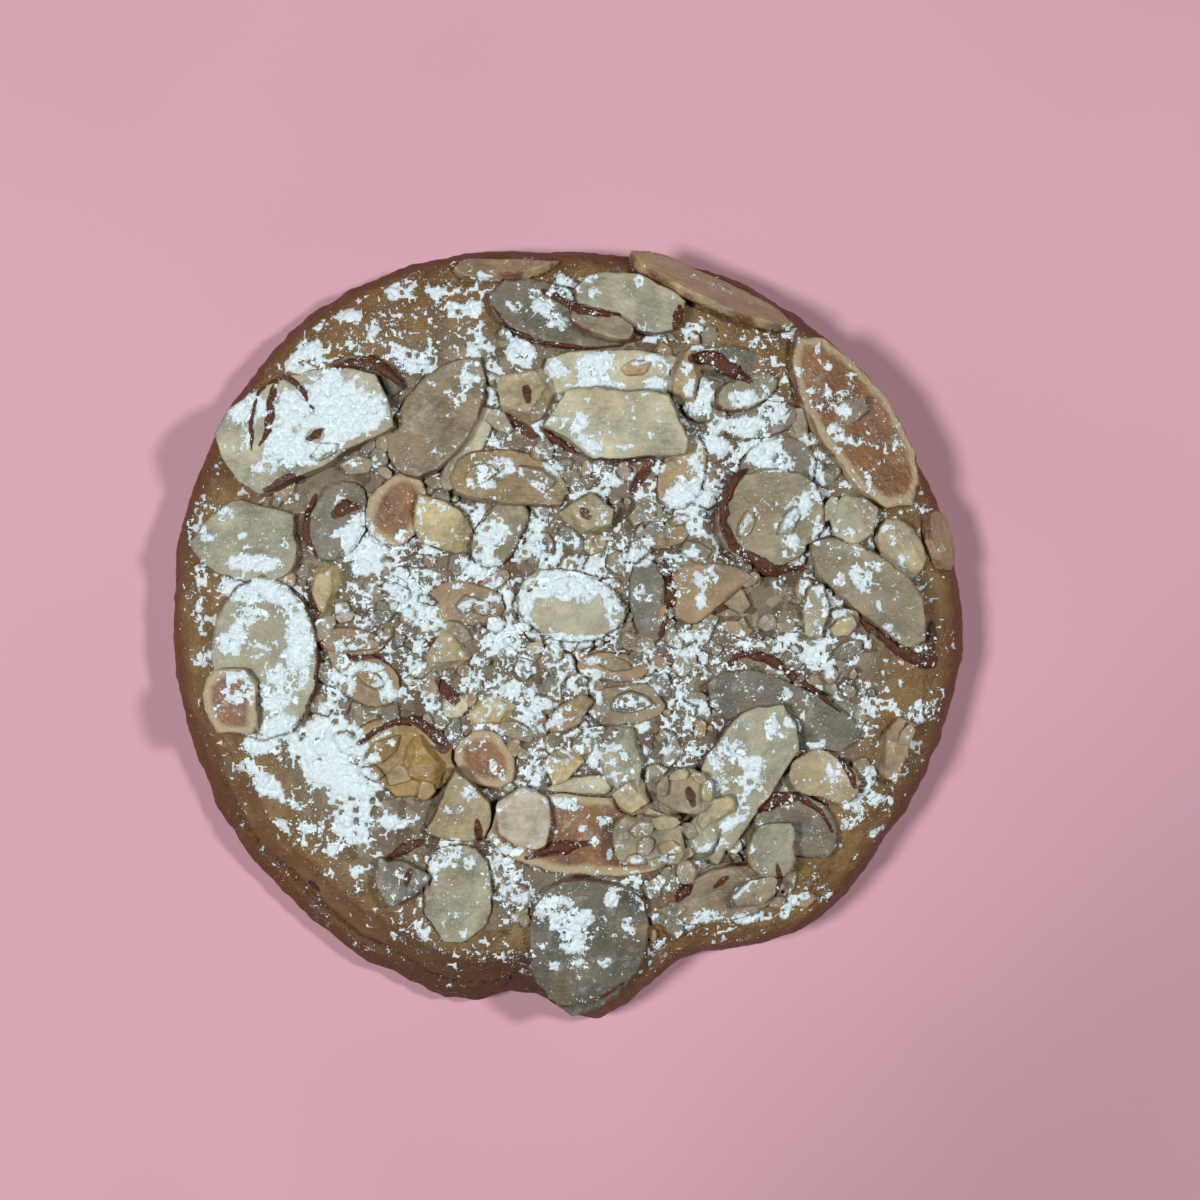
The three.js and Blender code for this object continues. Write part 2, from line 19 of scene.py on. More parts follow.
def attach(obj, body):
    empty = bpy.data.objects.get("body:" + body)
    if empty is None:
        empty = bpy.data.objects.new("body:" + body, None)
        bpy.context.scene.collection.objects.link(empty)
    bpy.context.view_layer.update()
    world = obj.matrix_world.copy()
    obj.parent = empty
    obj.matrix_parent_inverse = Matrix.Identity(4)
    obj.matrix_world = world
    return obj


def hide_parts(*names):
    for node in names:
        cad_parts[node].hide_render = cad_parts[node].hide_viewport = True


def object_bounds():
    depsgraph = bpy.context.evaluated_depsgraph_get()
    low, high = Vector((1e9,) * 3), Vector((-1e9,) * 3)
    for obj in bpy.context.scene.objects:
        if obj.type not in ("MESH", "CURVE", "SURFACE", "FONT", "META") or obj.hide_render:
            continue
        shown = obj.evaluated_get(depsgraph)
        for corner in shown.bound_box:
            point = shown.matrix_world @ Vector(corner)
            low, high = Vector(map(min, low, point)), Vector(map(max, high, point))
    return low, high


MM = 0.001
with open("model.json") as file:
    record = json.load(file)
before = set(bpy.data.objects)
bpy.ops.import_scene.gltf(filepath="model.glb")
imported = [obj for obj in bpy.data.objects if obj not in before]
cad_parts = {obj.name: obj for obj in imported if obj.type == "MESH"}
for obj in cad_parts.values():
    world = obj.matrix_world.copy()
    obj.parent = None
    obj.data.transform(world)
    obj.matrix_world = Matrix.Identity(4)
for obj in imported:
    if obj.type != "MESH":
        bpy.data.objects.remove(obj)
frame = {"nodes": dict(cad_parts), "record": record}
cad_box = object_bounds()
nodes = frame["nodes"]
slot_of = {row["node"]: row["material_slot"] for row in frame["record"]["subparts"]}
scene = bpy.context.scene
cad_size = [round(float(high - low) / MM, 1) for low, high in zip(*cad_box)]
print(len(nodes), "solids in a box of", cad_size, "mm")

# %% [markdown]
# ## Points as arrays
# A cookie has hundreds of thousands of small facets, too many to visit one by one in Python. Blender hands a
# mesh's points over as one array, so a bump, a distance or a mask is worked out for all of them at once.


# %% Points in and out of a mesh
def points_of(mesh):
    """The points of a mesh as an array, one row each, in metres."""
    flat = np.empty(len(mesh.vertices) * 3)
    mesh.vertices.foreach_get("co", flat)
    return flat.reshape(-1, 3)


def normals_of(mesh):
    """The way that each point of a mesh faces, one row each."""
    flat = np.empty(len(mesh.vertices) * 3)
    mesh.vertex_normals.foreach_get("vector", flat)
    return flat.reshape(-1, 3)


def move_points(mesh, points):
    """Puts a mesh's points where the rows of an array say."""
    mesh.vertices.foreach_set("co", points.ravel())
    mesh.update()


def paint(mesh, name, values):
    """Keeps one number for each point of a mesh, for its material to read."""
    layer = mesh.attributes.new(name, "FLOAT", "POINT")
    layer.data.foreach_set("value", np.asarray(values, dtype=np.float32))


print("the dough's solid has", len(points_of(nodes["dough"].data)), "loose points")

# %% Smooth steps and random lumps
SEED_SHIFT = 31.7  # how far apart, in lumps, two seeds look
HASH_STEPS = np.array([73856093, 19349663, 83492791])
HASH_FACTOR = 1274126177


def ramp(values, low, high):
    """0 below low, 1 above high, and a smooth way between."""
    share = np.clip((values - low) / (high - low), 0, 1)
    return share * share * (3 - 2 * share)


def lumps(points, size, seed):
    """Smooth random numbers from -1 to 1 at some points, whose hills and dips are of one size."""
    grid = points / size + SEED_SHIFT * seed
    cell = np.floor(grid).astype(np.int64)
    share = ramp(grid - cell, 0, 1)
    total = np.zeros(len(points))
    for corner in np.ndindex(*[2] * points.shape[1]):
        key = (cell + corner) @ HASH_STEPS[: points.shape[1]] + seed
        key = (key ^ (key >> 13)) * HASH_FACTOR
        chance = ((key ^ (key >> 16)) & 0xFFFF) / 0x7FFF - 1
        total += chance * np.prod(np.where(corner, share, 1 - share), axis=1)
    return total


def layered(points, layers, seed=0):
    """Lumps of several sizes in one sum. A layer is a size, a depth and a seed of its own."""
    return sum(depth * lumps(points, size, seed + own) for size, depth, own in layers)


print("a ramp from 0 to 1 is at", ramp(0.25, 0, 1), "after a quarter of the way")

# %% New pieces
HAIR = 1e-6  # metres; points that are nearer than this are one


def piece_of(name, bm):
    """A new piece from a finished bmesh."""
    mesh = bpy.data.meshes.new(name)
    bm.to_mesh(mesh)
    bm.free()
    piece = bpy.data.objects.new(name, mesh)
    scene.collection.objects.link(piece)
    return piece


def merged_solid(node):
    """A solid as a new bmesh, with its loose triangles joined up."""
    bm = bmesh.new()
    bm.from_mesh(nodes[node].data)
    bmesh.ops.remove_doubles(bm, verts=bm.verts, dist=HAIR)
    return bm


def cut_off(bm, place, facing, near):
    """Cuts off all that lies beyond a plane and closes the cut. Points this near the plane count as on it."""
    geometry = bm.verts[:] + bm.edges[:] + bm.faces[:]
    bmesh.ops.bisect_plane(bm, geom=geometry, dist=near, plane_co=place, plane_no=facing, clear_outer=True)
    bmesh.ops.holes_fill(bm, edges=[edge for edge in bm.edges if edge.is_boundary])


def joined(name, pieces):
    """Joins several pieces into one."""
    first = pieces[0]
    with bpy.context.temp_override(active_object=first, selected_editable_objects=pieces):
        bpy.ops.object.join()
    first.name = name
    return first


def finish_piece(piece, slot, *stands_for):
    """Books a finished piece in: hangs it under the root and hides the solids that it stands for. Its slot is
    not used.
    """
    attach(piece, "root")
    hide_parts(*stands_for)
    print(piece.name, "has", len(piece.data.polygons), "faces")


# %% [markdown]
# ## New skins
# A solid's facets are large and uneven, so relief has no points to move. A Remesh modifier lays a new skin of
# small, even quads over a copy. The dough gets voxels, which also round its edges. The almonds get the sharp
# kind, which keeps the crisp edges of a cut. Where that kind goes astray, a point is put back on the solid.

# %% Lay a new skin over a piece
STRAY = 0.5  # a point further than this share of a cell from where it was goes back


def evaluated_skin(piece):
    """Swaps a piece's mesh for what its modifiers make of it."""
    depsgraph = bpy.context.evaluated_depsgraph_get()
    skin = bpy.data.meshes.new_from_object(piece.evaluated_get(depsgraph))
    piece.modifiers.clear()
    piece.data = skin
    skin.shade_smooth()


def even_skin(piece, voxel, rounding):
    """Gives a piece an even skin of small quads, with its sharp edges rounded off."""
    remesh = piece.modifiers.new("skin", "REMESH")
    remesh.mode = "VOXEL"
    remesh.voxel_size = voxel
    soften = piece.modifiers.new("rounding", "SMOOTH")
    soften.iterations = rounding
    evaluated_skin(piece)


def crisp_skin(piece, cell):
    """Gives a piece a skin of quads of about a given size that keeps its sharp edges."""
    before = tree_of([piece])
    remesh = piece.modifiers.new("skin", "REMESH")
    remesh.mode = "SHARP"
    remesh.scale = 0.9
    remesh.octree_depth = math.ceil(math.log2(max(piece.dimensions) / cell))
    remesh.sharpness = 0.3
    remesh.use_remove_disconnected = False
    soften = piece.modifiers.new("rounding", "SMOOTH")
    soften.factor = 0.3
    soften.iterations = 1
    evaluated_skin(piece)
    for vert in piece.data.vertices:
        nearest, _, _, away = before.find_nearest(vert.co)
        if away > STRAY * cell:
            vert.co = nearest


# %% [markdown]
# ## Places on the cookie
# Everything that is listed here is given in millimetres as seen from above, east and north of the
# middle. The solids' own origin is under the middle of the finished outline, a hair away from that.

# %% From a place in plan to the frame
OUTLINE_MIDDLE = np.array([0.16, 0.03])
RAY_HEIGHT = 40 * MM  # well over the cookie's own height


def in_plan(points):
    """East and north of the middle, in millimetres, for points in metres."""
    return points[:, :2] / MM + OUTLINE_MIDDLE


def on_ground(place):
    """A place in plan as a point of the frame, in metres."""
    east, north = np.asarray(place) - OUTLINE_MIDDLE
    return Vector((east * MM, north * MM, 0))


def tree_of(pieces):
    """All these pieces as one thing to drop rays on."""
    bm = bmesh.new()
    for piece in pieces:
        bm.from_mesh(piece.data)
    tree = BVHTree.FromBMesh(bm)
    bm.free()
    return tree


def dropped(tree, point):
    """What a ray from above a point meets first: where, which way that faces, which face, how far down."""
    return tree.ray_cast(Vector(point) + Vector((0, 0, RAY_HEIGHT)), Vector((0, 0, -1)))


def top_of(tree, place):
    """The highest point over a place in plan, or None beside the cookie."""
    return dropped(tree, on_ground(place))[0]


solids = tree_of(nodes.values())
print("the solids' top over the middle is at", round(top_of(solids, (0, 0)).z / MM, 2), "mm")

# %% [markdown]
# ## Shader sums in Python
# A material is a net of nodes. Written out node by node it is long and hard to read, so a small class wraps
# a socket and lets it be added, scaled and compared as if it were a number. Each sum adds its own Math node.


# %% A socket that takes part in sums
class Value:
    """A shader socket that takes part in sums."""

    def __init__(self, finish, socket):
        self.finish = finish
        self.socket = socket

    def sum(self, operation, first, second):
        """Adds the Math node for one operation."""
        node = self.finish.node("ShaderNodeMath", {"operation": operation}, {0: first, 1: second})
        return node.value()

    def __add__(self, other):
        return self.sum("ADD", self, other)

    def __sub__(self, other):
        return self.sum("SUBTRACT", self, other)

    def __rsub__(self, other):
        return self.sum("SUBTRACT", other, self)

    def __mul__(self, other):
        return self.sum("MULTIPLY", self, other)

    __radd__ = __add__
    __rmul__ = __mul__

    def larger(self, other):
        """The larger of two values."""
        return self.sum("MAXIMUM", self, other)

    def ramp(self, low, high):
        """0 below low, 1 above high, and a smooth way between."""
        sockets = {"Value": self, "From Min": low, "From Max": high}
        settings = {"interpolation_type": "SMOOTHSTEP"}
        return self.finish.node("ShaderNodeMapRange", settings, sockets).value()


class Added:
    """A node that has been added, and its output sockets."""

    def __init__(self, finish, node):
        self.finish = finish
        self.node = node

    def value(self, output=0):
        """One of the node's outputs, by number or name."""
        return Value(self.finish, self.node.outputs[output])


# %% A material that is written as sums
class Finish:
    """A material, and what is needed to write it."""

    MIX_COLOURS = (6, 7)  # where the Mix node takes two colours, because several of its sockets share a name
    MIXED_COLOUR = 2  # and where it gives their mix

    def __init__(self, name):
        self.material = bpy.data.materials.new(name)
        self.material.use_nodes = True
        self.tree = self.material.node_tree
        self.shader = self.tree.nodes["Principled BSDF"]

    def feed(self, socket, value):
        """Links a value to a socket, or sets a plain number or colour on it."""
        if isinstance(value, Value):
            self.tree.links.new(value.socket, socket)
        elif isinstance(value, tuple) and len(value) == 3 and socket.type == "RGBA":
            socket.default_value = (*value, 1)
        else:
            socket.default_value = value

    def node(self, kind, settings=None, sockets=None):
        """Adds a node: its kind, then its settings, then the values or links of its sockets."""
        node = self.tree.nodes.new(kind)
        for name, value in (settings or {}).items():
            setattr(node, name, value)
        for name, value in (sockets or {}).items():
            self.feed(node.inputs[name], value)
        return Added(self, node)

    def painted(self, name, kind="Fac"):
        """What was kept for each point of the mesh: a number, or with another kind a Color or a Vector."""
        return self.node("ShaderNodeAttribute", {"attribute_name": name}).value(kind)

    def scaled(self, colour, share):
        """A colour made lighter or darker."""
        sockets = {0: colour, "Scale": share}
        return self.node("ShaderNodeVectorMath", {"operation": "SCALE"}, sockets).value()

    def place(self):
        """Where a point lies in the frame, in metres."""
        return self.node("ShaderNodeTexCoord").value("Object")

    def stretched(self, name, scale):
        """A place in a flake's own frame, kept for each point, with its grain drawn out."""
        sockets = {"Vector": self.painted(name, "Vector"), "Scale": scale}
        return self.node("ShaderNodeMapping", None, sockets).value()

    def mottle(self, size, detail=2.0, place=None, roughness=0.5):
        """Cloudy patches of a given size in metres, from 0 to 1."""
        sockets = {
            "Vector": place or self.place(),
            "Scale": 1 / size,
            "Detail": detail,
            "Roughness": roughness,
        }
        return self.node("ShaderNodeTexNoise", None, sockets).value("Fac")

    def crumbs(self, size):
        """Crumbs of a given size in metres: a shade for each, from 0 to 1, and the way from its middle."""
        sockets = {"Vector": self.place(), "Scale": 1.4 / size, "Detail": 2.0}
        stray = self.node("ShaderNodeTexNoise", None, sockets).value("Color")
        sockets = {0: stray, 1: (size, size, size), 2: self.place()}
        strayed = self.node("ShaderNodeVectorMath", {"operation": "MULTIPLY_ADD"}, sockets).value()
        cells = self.node("ShaderNodeTexVoronoi", None, {"Vector": strayed, "Scale": 1 / size})
        shade = self.node("ShaderNodeSeparateColor", None, {0: cells.value("Color")}).value("Red")
        return shade, cells.value("Distance")

    def mix(self, share, first, second):
        """A colour between two others."""
        sockets = {0: share, self.MIX_COLOURS[0]: first, self.MIX_COLOURS[1]: second}
        return self.node("ShaderNodeMix", {"data_type": "RGBA"}, sockets).value(self.MIXED_COLOUR)

    def coordinate(self, axis):
        """How far along one axis of the frame a point lies, in metres."""
        return self.node("ShaderNodeSeparateXYZ", None, {0: self.place()}).value(axis)

    def bump(self, relief, depth):
        """Bends the light as a relief of that depth, in metres, would."""
        sockets = {"Height": relief, "Distance": depth, "Strength": 1.0}
        self.set("Normal", self.node("ShaderNodeBump", None, sockets).value())

    def set(self, socket, value):
        """Gives the shader a value."""
        self.feed(self.shader.inputs[socket], value)

    def scatter(self, weight, reach):
        """Lets light soak in by a given depth, in metres, a little further in red than in blue."""
        self.set("Subsurface Weight", weight)
        self.set("Subsurface Radius", (1.0, 0.72, 0.45))
        self.set("Subsurface Scale", reach)


print("ready to write finishes")

# %% [markdown]
# ## Where the sugar lies
# Powdered sugar was shaken over the cookie by hand, and it clumped: some slices are buried, some are nearly
# bare. Random noise alone would spread it evenly, so the main drifts are listed one by one, each an oval with
# its middle, length, width, bearing and how closely it covers. Under about a half, only crumbs of it show.
# The thin dusting between the drifts is a few broad ovals of the same kind, and a few spots stayed bare.

# %% The drifts of sugar
DRIFTS = {
    "broad north-west slab": [
        (-29.0, 23.6, 16.5, 8.4, 18, 1.2), (-36.7, 25.6, 4.4, 3.6, 80, 1.0),
        (-22.3, 25.0, 5.4, 4.2, 10, 1.0), (-29.2, 30.8, 5.0, 4.6, 0, 1.0),
        (-26.6, 28.6, 6.0, 3.0, -30, 0.85), (-23.4, 24.2, 8.0, 5.4, 20, 1.1),
        (-26.8, 20.8, 10.0, 2.8, 28, 1.0), (-35.6, 25.2, 5.0, 4.2, 70, 1.05),
        (-33.0, 18.8, 5.0, 2.4, 15, 0.9),
    ],
    "north-west dough": [
        (-24.6, 35.6, 2.8, 2.0, 10, 1.0), (-21.6, 33.8, 2.6, 2.0, 70, 0.9),
        (-18.7, 38.6, 5.0, 2.4, 18, 0.8), (-14.6, 38.2, 3.0, 1.8, 0, 0.75), (-27.6, 34.4, 2.2, 1.6, 0, 0.7),
        (-17.9, 30.6, 5.2, 3.4, -25, 0.85), (-15.7, 29.7, 2.6, 2.2, 0, 0.9),
        (-16.0, 35.5, 22.0, 9.0, 18, 0.36), (-10.3, 36.3, 3.2, 2.4, 0, 0.95),
        (-9.6, 33.4, 3.2, 1.8, 80, 0.8), (-10.1, 31.9, 3.0, 2.0, 10, 0.9), (-12.9, 36.6, 2.2, 1.6, 0, 0.75),
        (-10.6, 39.6, 6.0, 2.6, 0, 0.5),
    ],
    "north edge": [
        (-0.1, 38.8, 3.8, 3.0, -30, 1.0), (2.8, 39.5, 3.6, 1.2, 0, 0.65), (3.1, 37.8, 1.8, 1.6, 0, 0.8),
        (-3.7, 38.0, 1.8, 1.6, 0, 0.8), (-2.3, 36.2, 4.2, 2.0, -35, 0.85), (-0.7, 34.4, 3.8, 1.6, 10, 0.8),
        (-5.7, 36.3, 3.0, 1.6, 0, 0.6), (9.3, 33.0, 2.6, 1.6, 0, 0.7), (8.2, 39.3, 1.8, 1.4, 90, 0.8),
        (-5.1, 31.3, 4.6, 3.4, -40, 0.95), (-8.1, 29.1, 3.8, 2.2, 90, 0.75),
        (-8.4, 26.7, 3.2, 2.4, 90, 0.75), (-10.7, 28.6, 3.4, 3.0, 60, 0.85),
        (-12.3, 26.3, 3.2, 1.6, -20, 0.7), (-15.0, 28.0, 2.0, 1.5, 90, 0.65),
        (13.4, 40.6, 3.8, 1.2, -26, 0.85), (17.4, 38.9, 3.4, 1.3, -28, 0.85),
        (21.4, 36.6, 4.2, 1.2, -30, 0.8), (24.9, 33.9, 2.0, 1.6, 0, 0.9),
    ],
    "north slabs": [
        (3.2, 29.7, 4.8, 4.0, 20, 1.1), (-1.2, 29.3, 3.2, 2.6, 60, 0.9), (3.8, 27.7, 6.4, 1.6, 0, 0.9),
        (9.3, 30.2, 4.8, 2.0, 5, 1.0), (11.3, 29.3, 2.4, 1.6, 0, 0.9), (9.9, 27.7, 2.6, 2.0, 0, 1.0),
        (6.6, 27.4, 2.8, 1.2, 0, 0.75), (-1.8, 24.4, 3.2, 1.4, 85, 0.75), (1.6, 23.0, 3.2, 2.6, 60, 0.75),
        (2.7, 20.8, 4.0, 2.2, -30, 1.0), (6.6, 20.6, 2.2, 1.2, 0, 0.8), (-0.7, 23.8, 3.2, 1.2, 0, 0.65),
        (5.0, 24.0, 12.0, 4.0, -5, 0.26),
    ],
    "north-east": [
        (14.9, 26.3, 4.8, 4.2, 60, 1.1), (17.7, 29.7, 3.6, 2.0, -15, 0.95), (14.3, 33.6, 3.2, 2.6, 0, 0.65),
        (14.9, 31.6, 3.6, 1.2, 0, 0.8), (20.4, 32.4, 4.4, 2.4, 0, 0.55), (22.6, 29.0, 6.0, 5.0, 0, 0.6),
        (19.9, 26.0, 4.4, 2.4, 0, 0.95), (23.2, 25.2, 4.8, 3.4, -60, 0.95), (19.3, 23.0, 7.6, 2.4, 5, 1.0),
        (16.6, 20.8, 5.4, 2.4, -20, 0.95), (18.8, 19.1, 3.2, 2.4, 90, 0.9),
        (22.1, 20.2, 6.4, 4.4, -10, 1.0), (24.3, 18.6, 3.2, 2.2, 0, 0.75), (27.9, 18.4, 4.8, 1.9, 85, 0.95),
        (28.2, 15.8, 3.2, 2.4, 90, 0.9), (26.0, 14.1, 4.0, 3.2, 60, 1.0), (14.9, 18.0, 4.2, 3.4, 90, 0.9),
        (10.0, 18.5, 3.2, 2.2, 0, 0.8), (13.8, 14.7, 7.0, 5.2, 10, 1.15), (8.8, 15.2, 3.2, 3.0, 0, 0.85),
        (16.6, 15.8, 3.6, 2.4, 90, 0.8), (31.3, 16.7, 2.8, 1.0, 0, 0.75),
    ],
    "long east flake": [
        (29.3, 29.7, 1.4, 1.2, 90, 0.9), (28.2, 31.9, 1.8, 0.9, 90, 0.9), (25.7, 29.1, 2.0, 1.4, 0, 0.85),
        (27.4, 26.9, 1.2, 1.0, 0, 0.85), (29.3, 26.9, 1.4, 1.0, 90, 0.9), (31.0, 26.9, 1.3, 0.8, 90, 0.85),
        (27.7, 25.0, 1.8, 1.1, 90, 0.8), (30.2, 22.4, 2.8, 2.4, 90, 0.95), (32.1, 21.3, 3.4, 1.4, 0, 0.9),
        (31.6, 24.4, 3.4, 3.2, 0, 0.45), (30.4, 20.2, 1.4, 1.2, 0, 0.8), (33.8, 16.7, 1.6, 1.0, 90, 0.9),
        (37.1, 20.8, 3.2, 0.9, 95, 0.6), (32.0, 23.5, 19.0, 7.0, 125, 0.24),
    ],
    "east": [
        (19.9, 11.9, 2.4, 1.7, 90, 0.9), (23.8, 11.9, 1.8, 1.6, 0, 0.85), (21.0, 13.6, 1.4, 1.2, 0, 0.65),
        (24.9, 9.7, 3.6, 2.4, 80, 0.85), (28.0, 11.3, 3.6, 1.7, 85, 0.85), (29.6, 11.3, 2.2, 1.3, 0, 0.85),
        (31.9, 11.3, 2.2, 1.1, 0, 0.85), (35.4, 11.6, 2.8, 1.1, 15, 0.85), (39.6, 11.3, 1.6, 0.9, 90, 0.85),
        (36.6, 10.2, 1.4, 1.1, 90, 0.75), (37.4, 8.0, 1.8, 1.1, 90, 0.8), (32.9, 6.3, 3.8, 2.8, 100, 0.95),
        (30.4, 5.8, 1.8, 1.5, 90, 0.9), (32.1, 8.9, 2.0, 1.7, 0, 0.8), (34.3, 7.4, 2.6, 1.8, 0, 0.8),
        (34.9, 3.0, 2.4, 1.0, 100, 0.6), (36.3, 0.0, 2.8, 1.6, -40, 0.85), (37.7, -1.4, 2.2, 0.9, -35, 0.7),
        (26.6, 5.2, 2.8, 1.9, 90, 0.95), (26.6, 3.0, 2.8, 1.4, 90, 0.85), (27.7, 0.8, 2.2, 1.9, 90, 0.85),
        (28.8, 4.1, 3.8, 2.4, -50, 1.0), (29.9, 2.4, 3.8, 2.2, 0, 1.0), (28.8, -0.3, 3.2, 2.2, 90, 0.85),
        (27.7, -2.6, 3.6, 2.6, 0, 0.8), (29.1, -3.7, 1.8, 1.5, 90, 0.8), (32.1, -2.9, 1.8, 1.4, 0, 0.95),
        (32.7, -0.3, 2.6, 1.8, 0, 0.75), (23.2, 4.7, 3.2, 0.9, 90, 0.75), (22.9, 2.4, 2.0, 1.1, 0, 0.75),
        (23.2, -0.3, 2.2, 1.5, 90, 0.7), (23.6, -1.8, 1.8, 1.5, 0, 0.75), (19.9, 1.6, 1.8, 0.9, 90, 0.75),
        (41.0, 3.0, 9.0, 1.6, 90, 0.4),
    ],
    "middle": [
        (15.8, 5.8, 3.2, 2.8, 100, 1.05), (15.4, 3.6, 2.6, 2.4, 90, 0.95), (13.8, 8.8, 2.6, 1.6, 0, 1.0),
        (8.8, 8.0, 2.8, 2.2, 0, 0.8), (8.2, 4.7, 2.2, 1.6, 90, 0.75), (9.3, 3.8, 1.5, 1.2, 90, 0.8),
        (13.8, -0.9, 5.4, 3.0, 0, 0.85), (12.7, -2.0, 2.8, 2.0, 0, 0.9), (15.4, -2.6, 2.2, 1.8, 90, 0.85),
        (13.2, -4.8, 2.8, 2.2, -20, 0.9), (15.4, -5.3, 2.2, 1.5, 90, 0.65),
        (14.0, -9.2, 4.4, 2.2, 80, 0.85), (16.0, -8.7, 2.6, 2.6, 0, 0.9), (11.0, -10.3, 2.6, 1.6, 90, 0.75),
        (9.9, -3.1, 2.2, 1.0, 90, 0.8), (0.4, 5.4, 10.4, 4.4, -6, 1.1), (-4.5, 2.6, 6.0, 2.6, 85, 1.05),
        (-0.7, -1.8, 5.4, 2.4, -10, 1.05), (4.9, 3.6, 5.2, 3.0, -70, 0.95), (4.3, -0.9, 4.8, 1.6, 5, 0.95),
        (-8.4, 11.3, 5.0, 4.6, 60, 0.9), (0.8, -0.6, 8.4, 1.8, -4, 1.05), (5.3, 1.4, 2.4, 3.4, 60, 1.0),
        (-4.3, 0.6, 2.6, 3.0, 30, 1.05), (-7.0, 18.4, 3.2, 2.6, 0, 1.0), (-8.6, 16.4, 2.2, 1.4, 0, 0.85),
        (-10.4, 16.2, 1.6, 1.2, 0, 0.8), (-3.0, 20.0, 3.4, 1.4, -20, 0.85),
        (-1.4, 18.4, 3.2, 2.2, -30, 0.95), (5.4, 17.2, 3.0, 2.0, 0, 0.95), (-3.4, 11.3, 6.4, 2.5, 85, 0.95),
        (-9.6, 7.4, 5.4, 3.6, -10, 1.05), (-2.3, 8.6, 5.2, 3.2, 0, 1.0), (1.6, 8.0, 6.2, 2.2, 0, 0.95),
        (4.3, 7.4, 3.6, 2.6, -30, 0.85), (-11.8, 5.8, 3.8, 2.2, 0, 0.8), (-6.8, 4.1, 3.2, 2.4, 50, 0.9),
        (-5.1, 6.3, 2.6, 1.6, 30, 0.8), (-7.3, -0.6, 5.2, 4.4, 80, 1.05), (-8.4, 3.0, 2.6, 2.0, 90, 0.9),
        (-5.7, -3.7, 6.2, 1.8, 0, 0.8), (-10.1, -4.8, 6.0, 2.4, 85, 0.75), (-9.0, -2.6, 3.2, 2.2, 0, 0.75),
    ],
    "south of the middle": [
        (-6.2, -6.4, 2.8, 2.0, 0, 0.9), (-6.8, -7.6, 2.2, 1.8, 90, 0.8), (-4.0, -7.0, 2.6, 2.2, 60, 0.85),
        (-0.7, -5.9, 3.2, 2.0, 0, 0.85), (-2.3, -8.1, 2.2, 1.4, 0, 0.8), (-4.0, -10.3, 3.8, 2.4, -20, 1.0),
        (-1.2, -9.8, 2.6, 1.8, 0, 0.95), (2.7, -4.8, 3.6, 1.8, 0, 0.95), (3.2, -3.1, 2.4, 1.4, 0, 0.95),
        (5.4, -5.1, 1.8, 1.4, 0, 0.9), (7.1, -3.3, 3.2, 1.2, 0, 0.55), (2.7, -9.2, 1.8, 1.6, 0, 0.95),
        (3.8, -7.0, 2.4, 1.8, 80, 0.8), (8.2, -8.1, 5.2, 1.4, -5, 0.65), (2.1, -11.4, 2.8, 2.6, 0, 0.95),
        (3.2, -13.7, 3.6, 2.0, 85, 0.85), (-0.2, -12.9, 1.6, 1.2, -40, 0.8),
        (-2.3, -13.7, 2.6, 2.2, 0, 0.8), (-3.4, -15.3, 4.2, 2.6, 0, 0.85), (9.3, -14.8, 2.8, 1.2, 0, 0.75),
        (6.6, -13.7, 1.1, 1.0, 0, 0.9), (5.4, -15.9, 1.8, 1.6, 0, 0.75), (15.4, -13.1, 4.8, 2.6, 10, 0.9),
        (-4.0, -17.0, 2.6, 2.2, 0, 0.75),
    ],
    "south-east": [
        (17.7, -13.7, 5.4, 4.2, 20, 0.9), (20.6, -15.9, 5.4, 3.4, 80, 0.85),
        (22.7, -10.3, 2.8, 1.8, 90, 1.0), (18.8, -10.3, 1.2, 1.0, 0, 0.9), (20.1, -10.4, 1.2, 1.0, 0, 0.85),
        (19.9, -19.4, 4.2, 2.2, 80, 0.85), (18.2, -21.4, 2.6, 1.8, 15, 0.95),
        (17.1, -16.4, 4.2, 3.2, 0, 0.65), (24.9, -10.0, 2.0, 1.7, -40, 0.8),
        (26.0, -9.8, 3.2, 2.2, 90, 0.45), (24.3, -7.0, 2.2, 1.4, 0, 0.85), (27.1, -7.6, 1.6, 1.4, 0, 0.8),
        (31.6, -6.4, 8.0, 6.4, 90, 0.48), (36.0, -4.0, 2.6, 1.9, 90, 0.65), (35.4, -8.1, 2.6, 2.2, 0, 0.65),
        (33.2, -10.6, 2.2, 1.7, 90, 0.7), (39.3, -8.7, 3.2, 2.2, 90, 0.55), (39.9, -9.8, 1.5, 1.1, 90, 0.8),
        (34.1, -15.9, 2.8, 1.9, 100, 0.9), (37.1, -16.2, 2.6, 1.2, 0, 0.75),
        (38.8, -13.1, 2.6, 1.2, 90, 0.65), (29.3, -15.3, 2.2, 1.1, 90, 0.9),
        (26.8, -16.4, 1.2, 1.1, 0, 0.85), (27.7, -12.6, 3.2, 1.2, 0, 0.65),
        (31.8, -20.4, 4.4, 3.4, 60, 0.65), (34.9, -18.7, 1.8, 1.7, 0, 0.75),
        (34.9, -22.6, 2.6, 1.2, 20, 0.8), (30.7, -23.9, 1.7, 1.0, 0, 0.8), (21.6, -21.1, 1.5, 1.2, 30, 0.8),
        (16.6, -23.7, 3.6, 1.6, 15, 0.9), (19.9, -24.0, 3.2, 1.4, 10, 0.8), (15.4, -24.2, 2.2, 1.8, 0, 0.8),
        (19.7, -28.7, 3.8, 1.2, 40, 0.75), (32.0, -17.0, 18.0, 8.0, 60, 0.34),
    ],
    "south-east edge": [
        (16.0, -31.8, 4.2, 1.8, 0, 0.95), (19.9, -32.2, 4.2, 1.6, 0, 0.92),
        (22.1, -32.0, 3.2, 1.4, 0, 0.92), (24.6, -31.4, 2.6, 1.5, 80, 0.95),
        (25.4, -30.1, 1.8, 1.4, 50, 0.9), (13.8, -32.6, 2.8, 1.6, 30, 0.88),
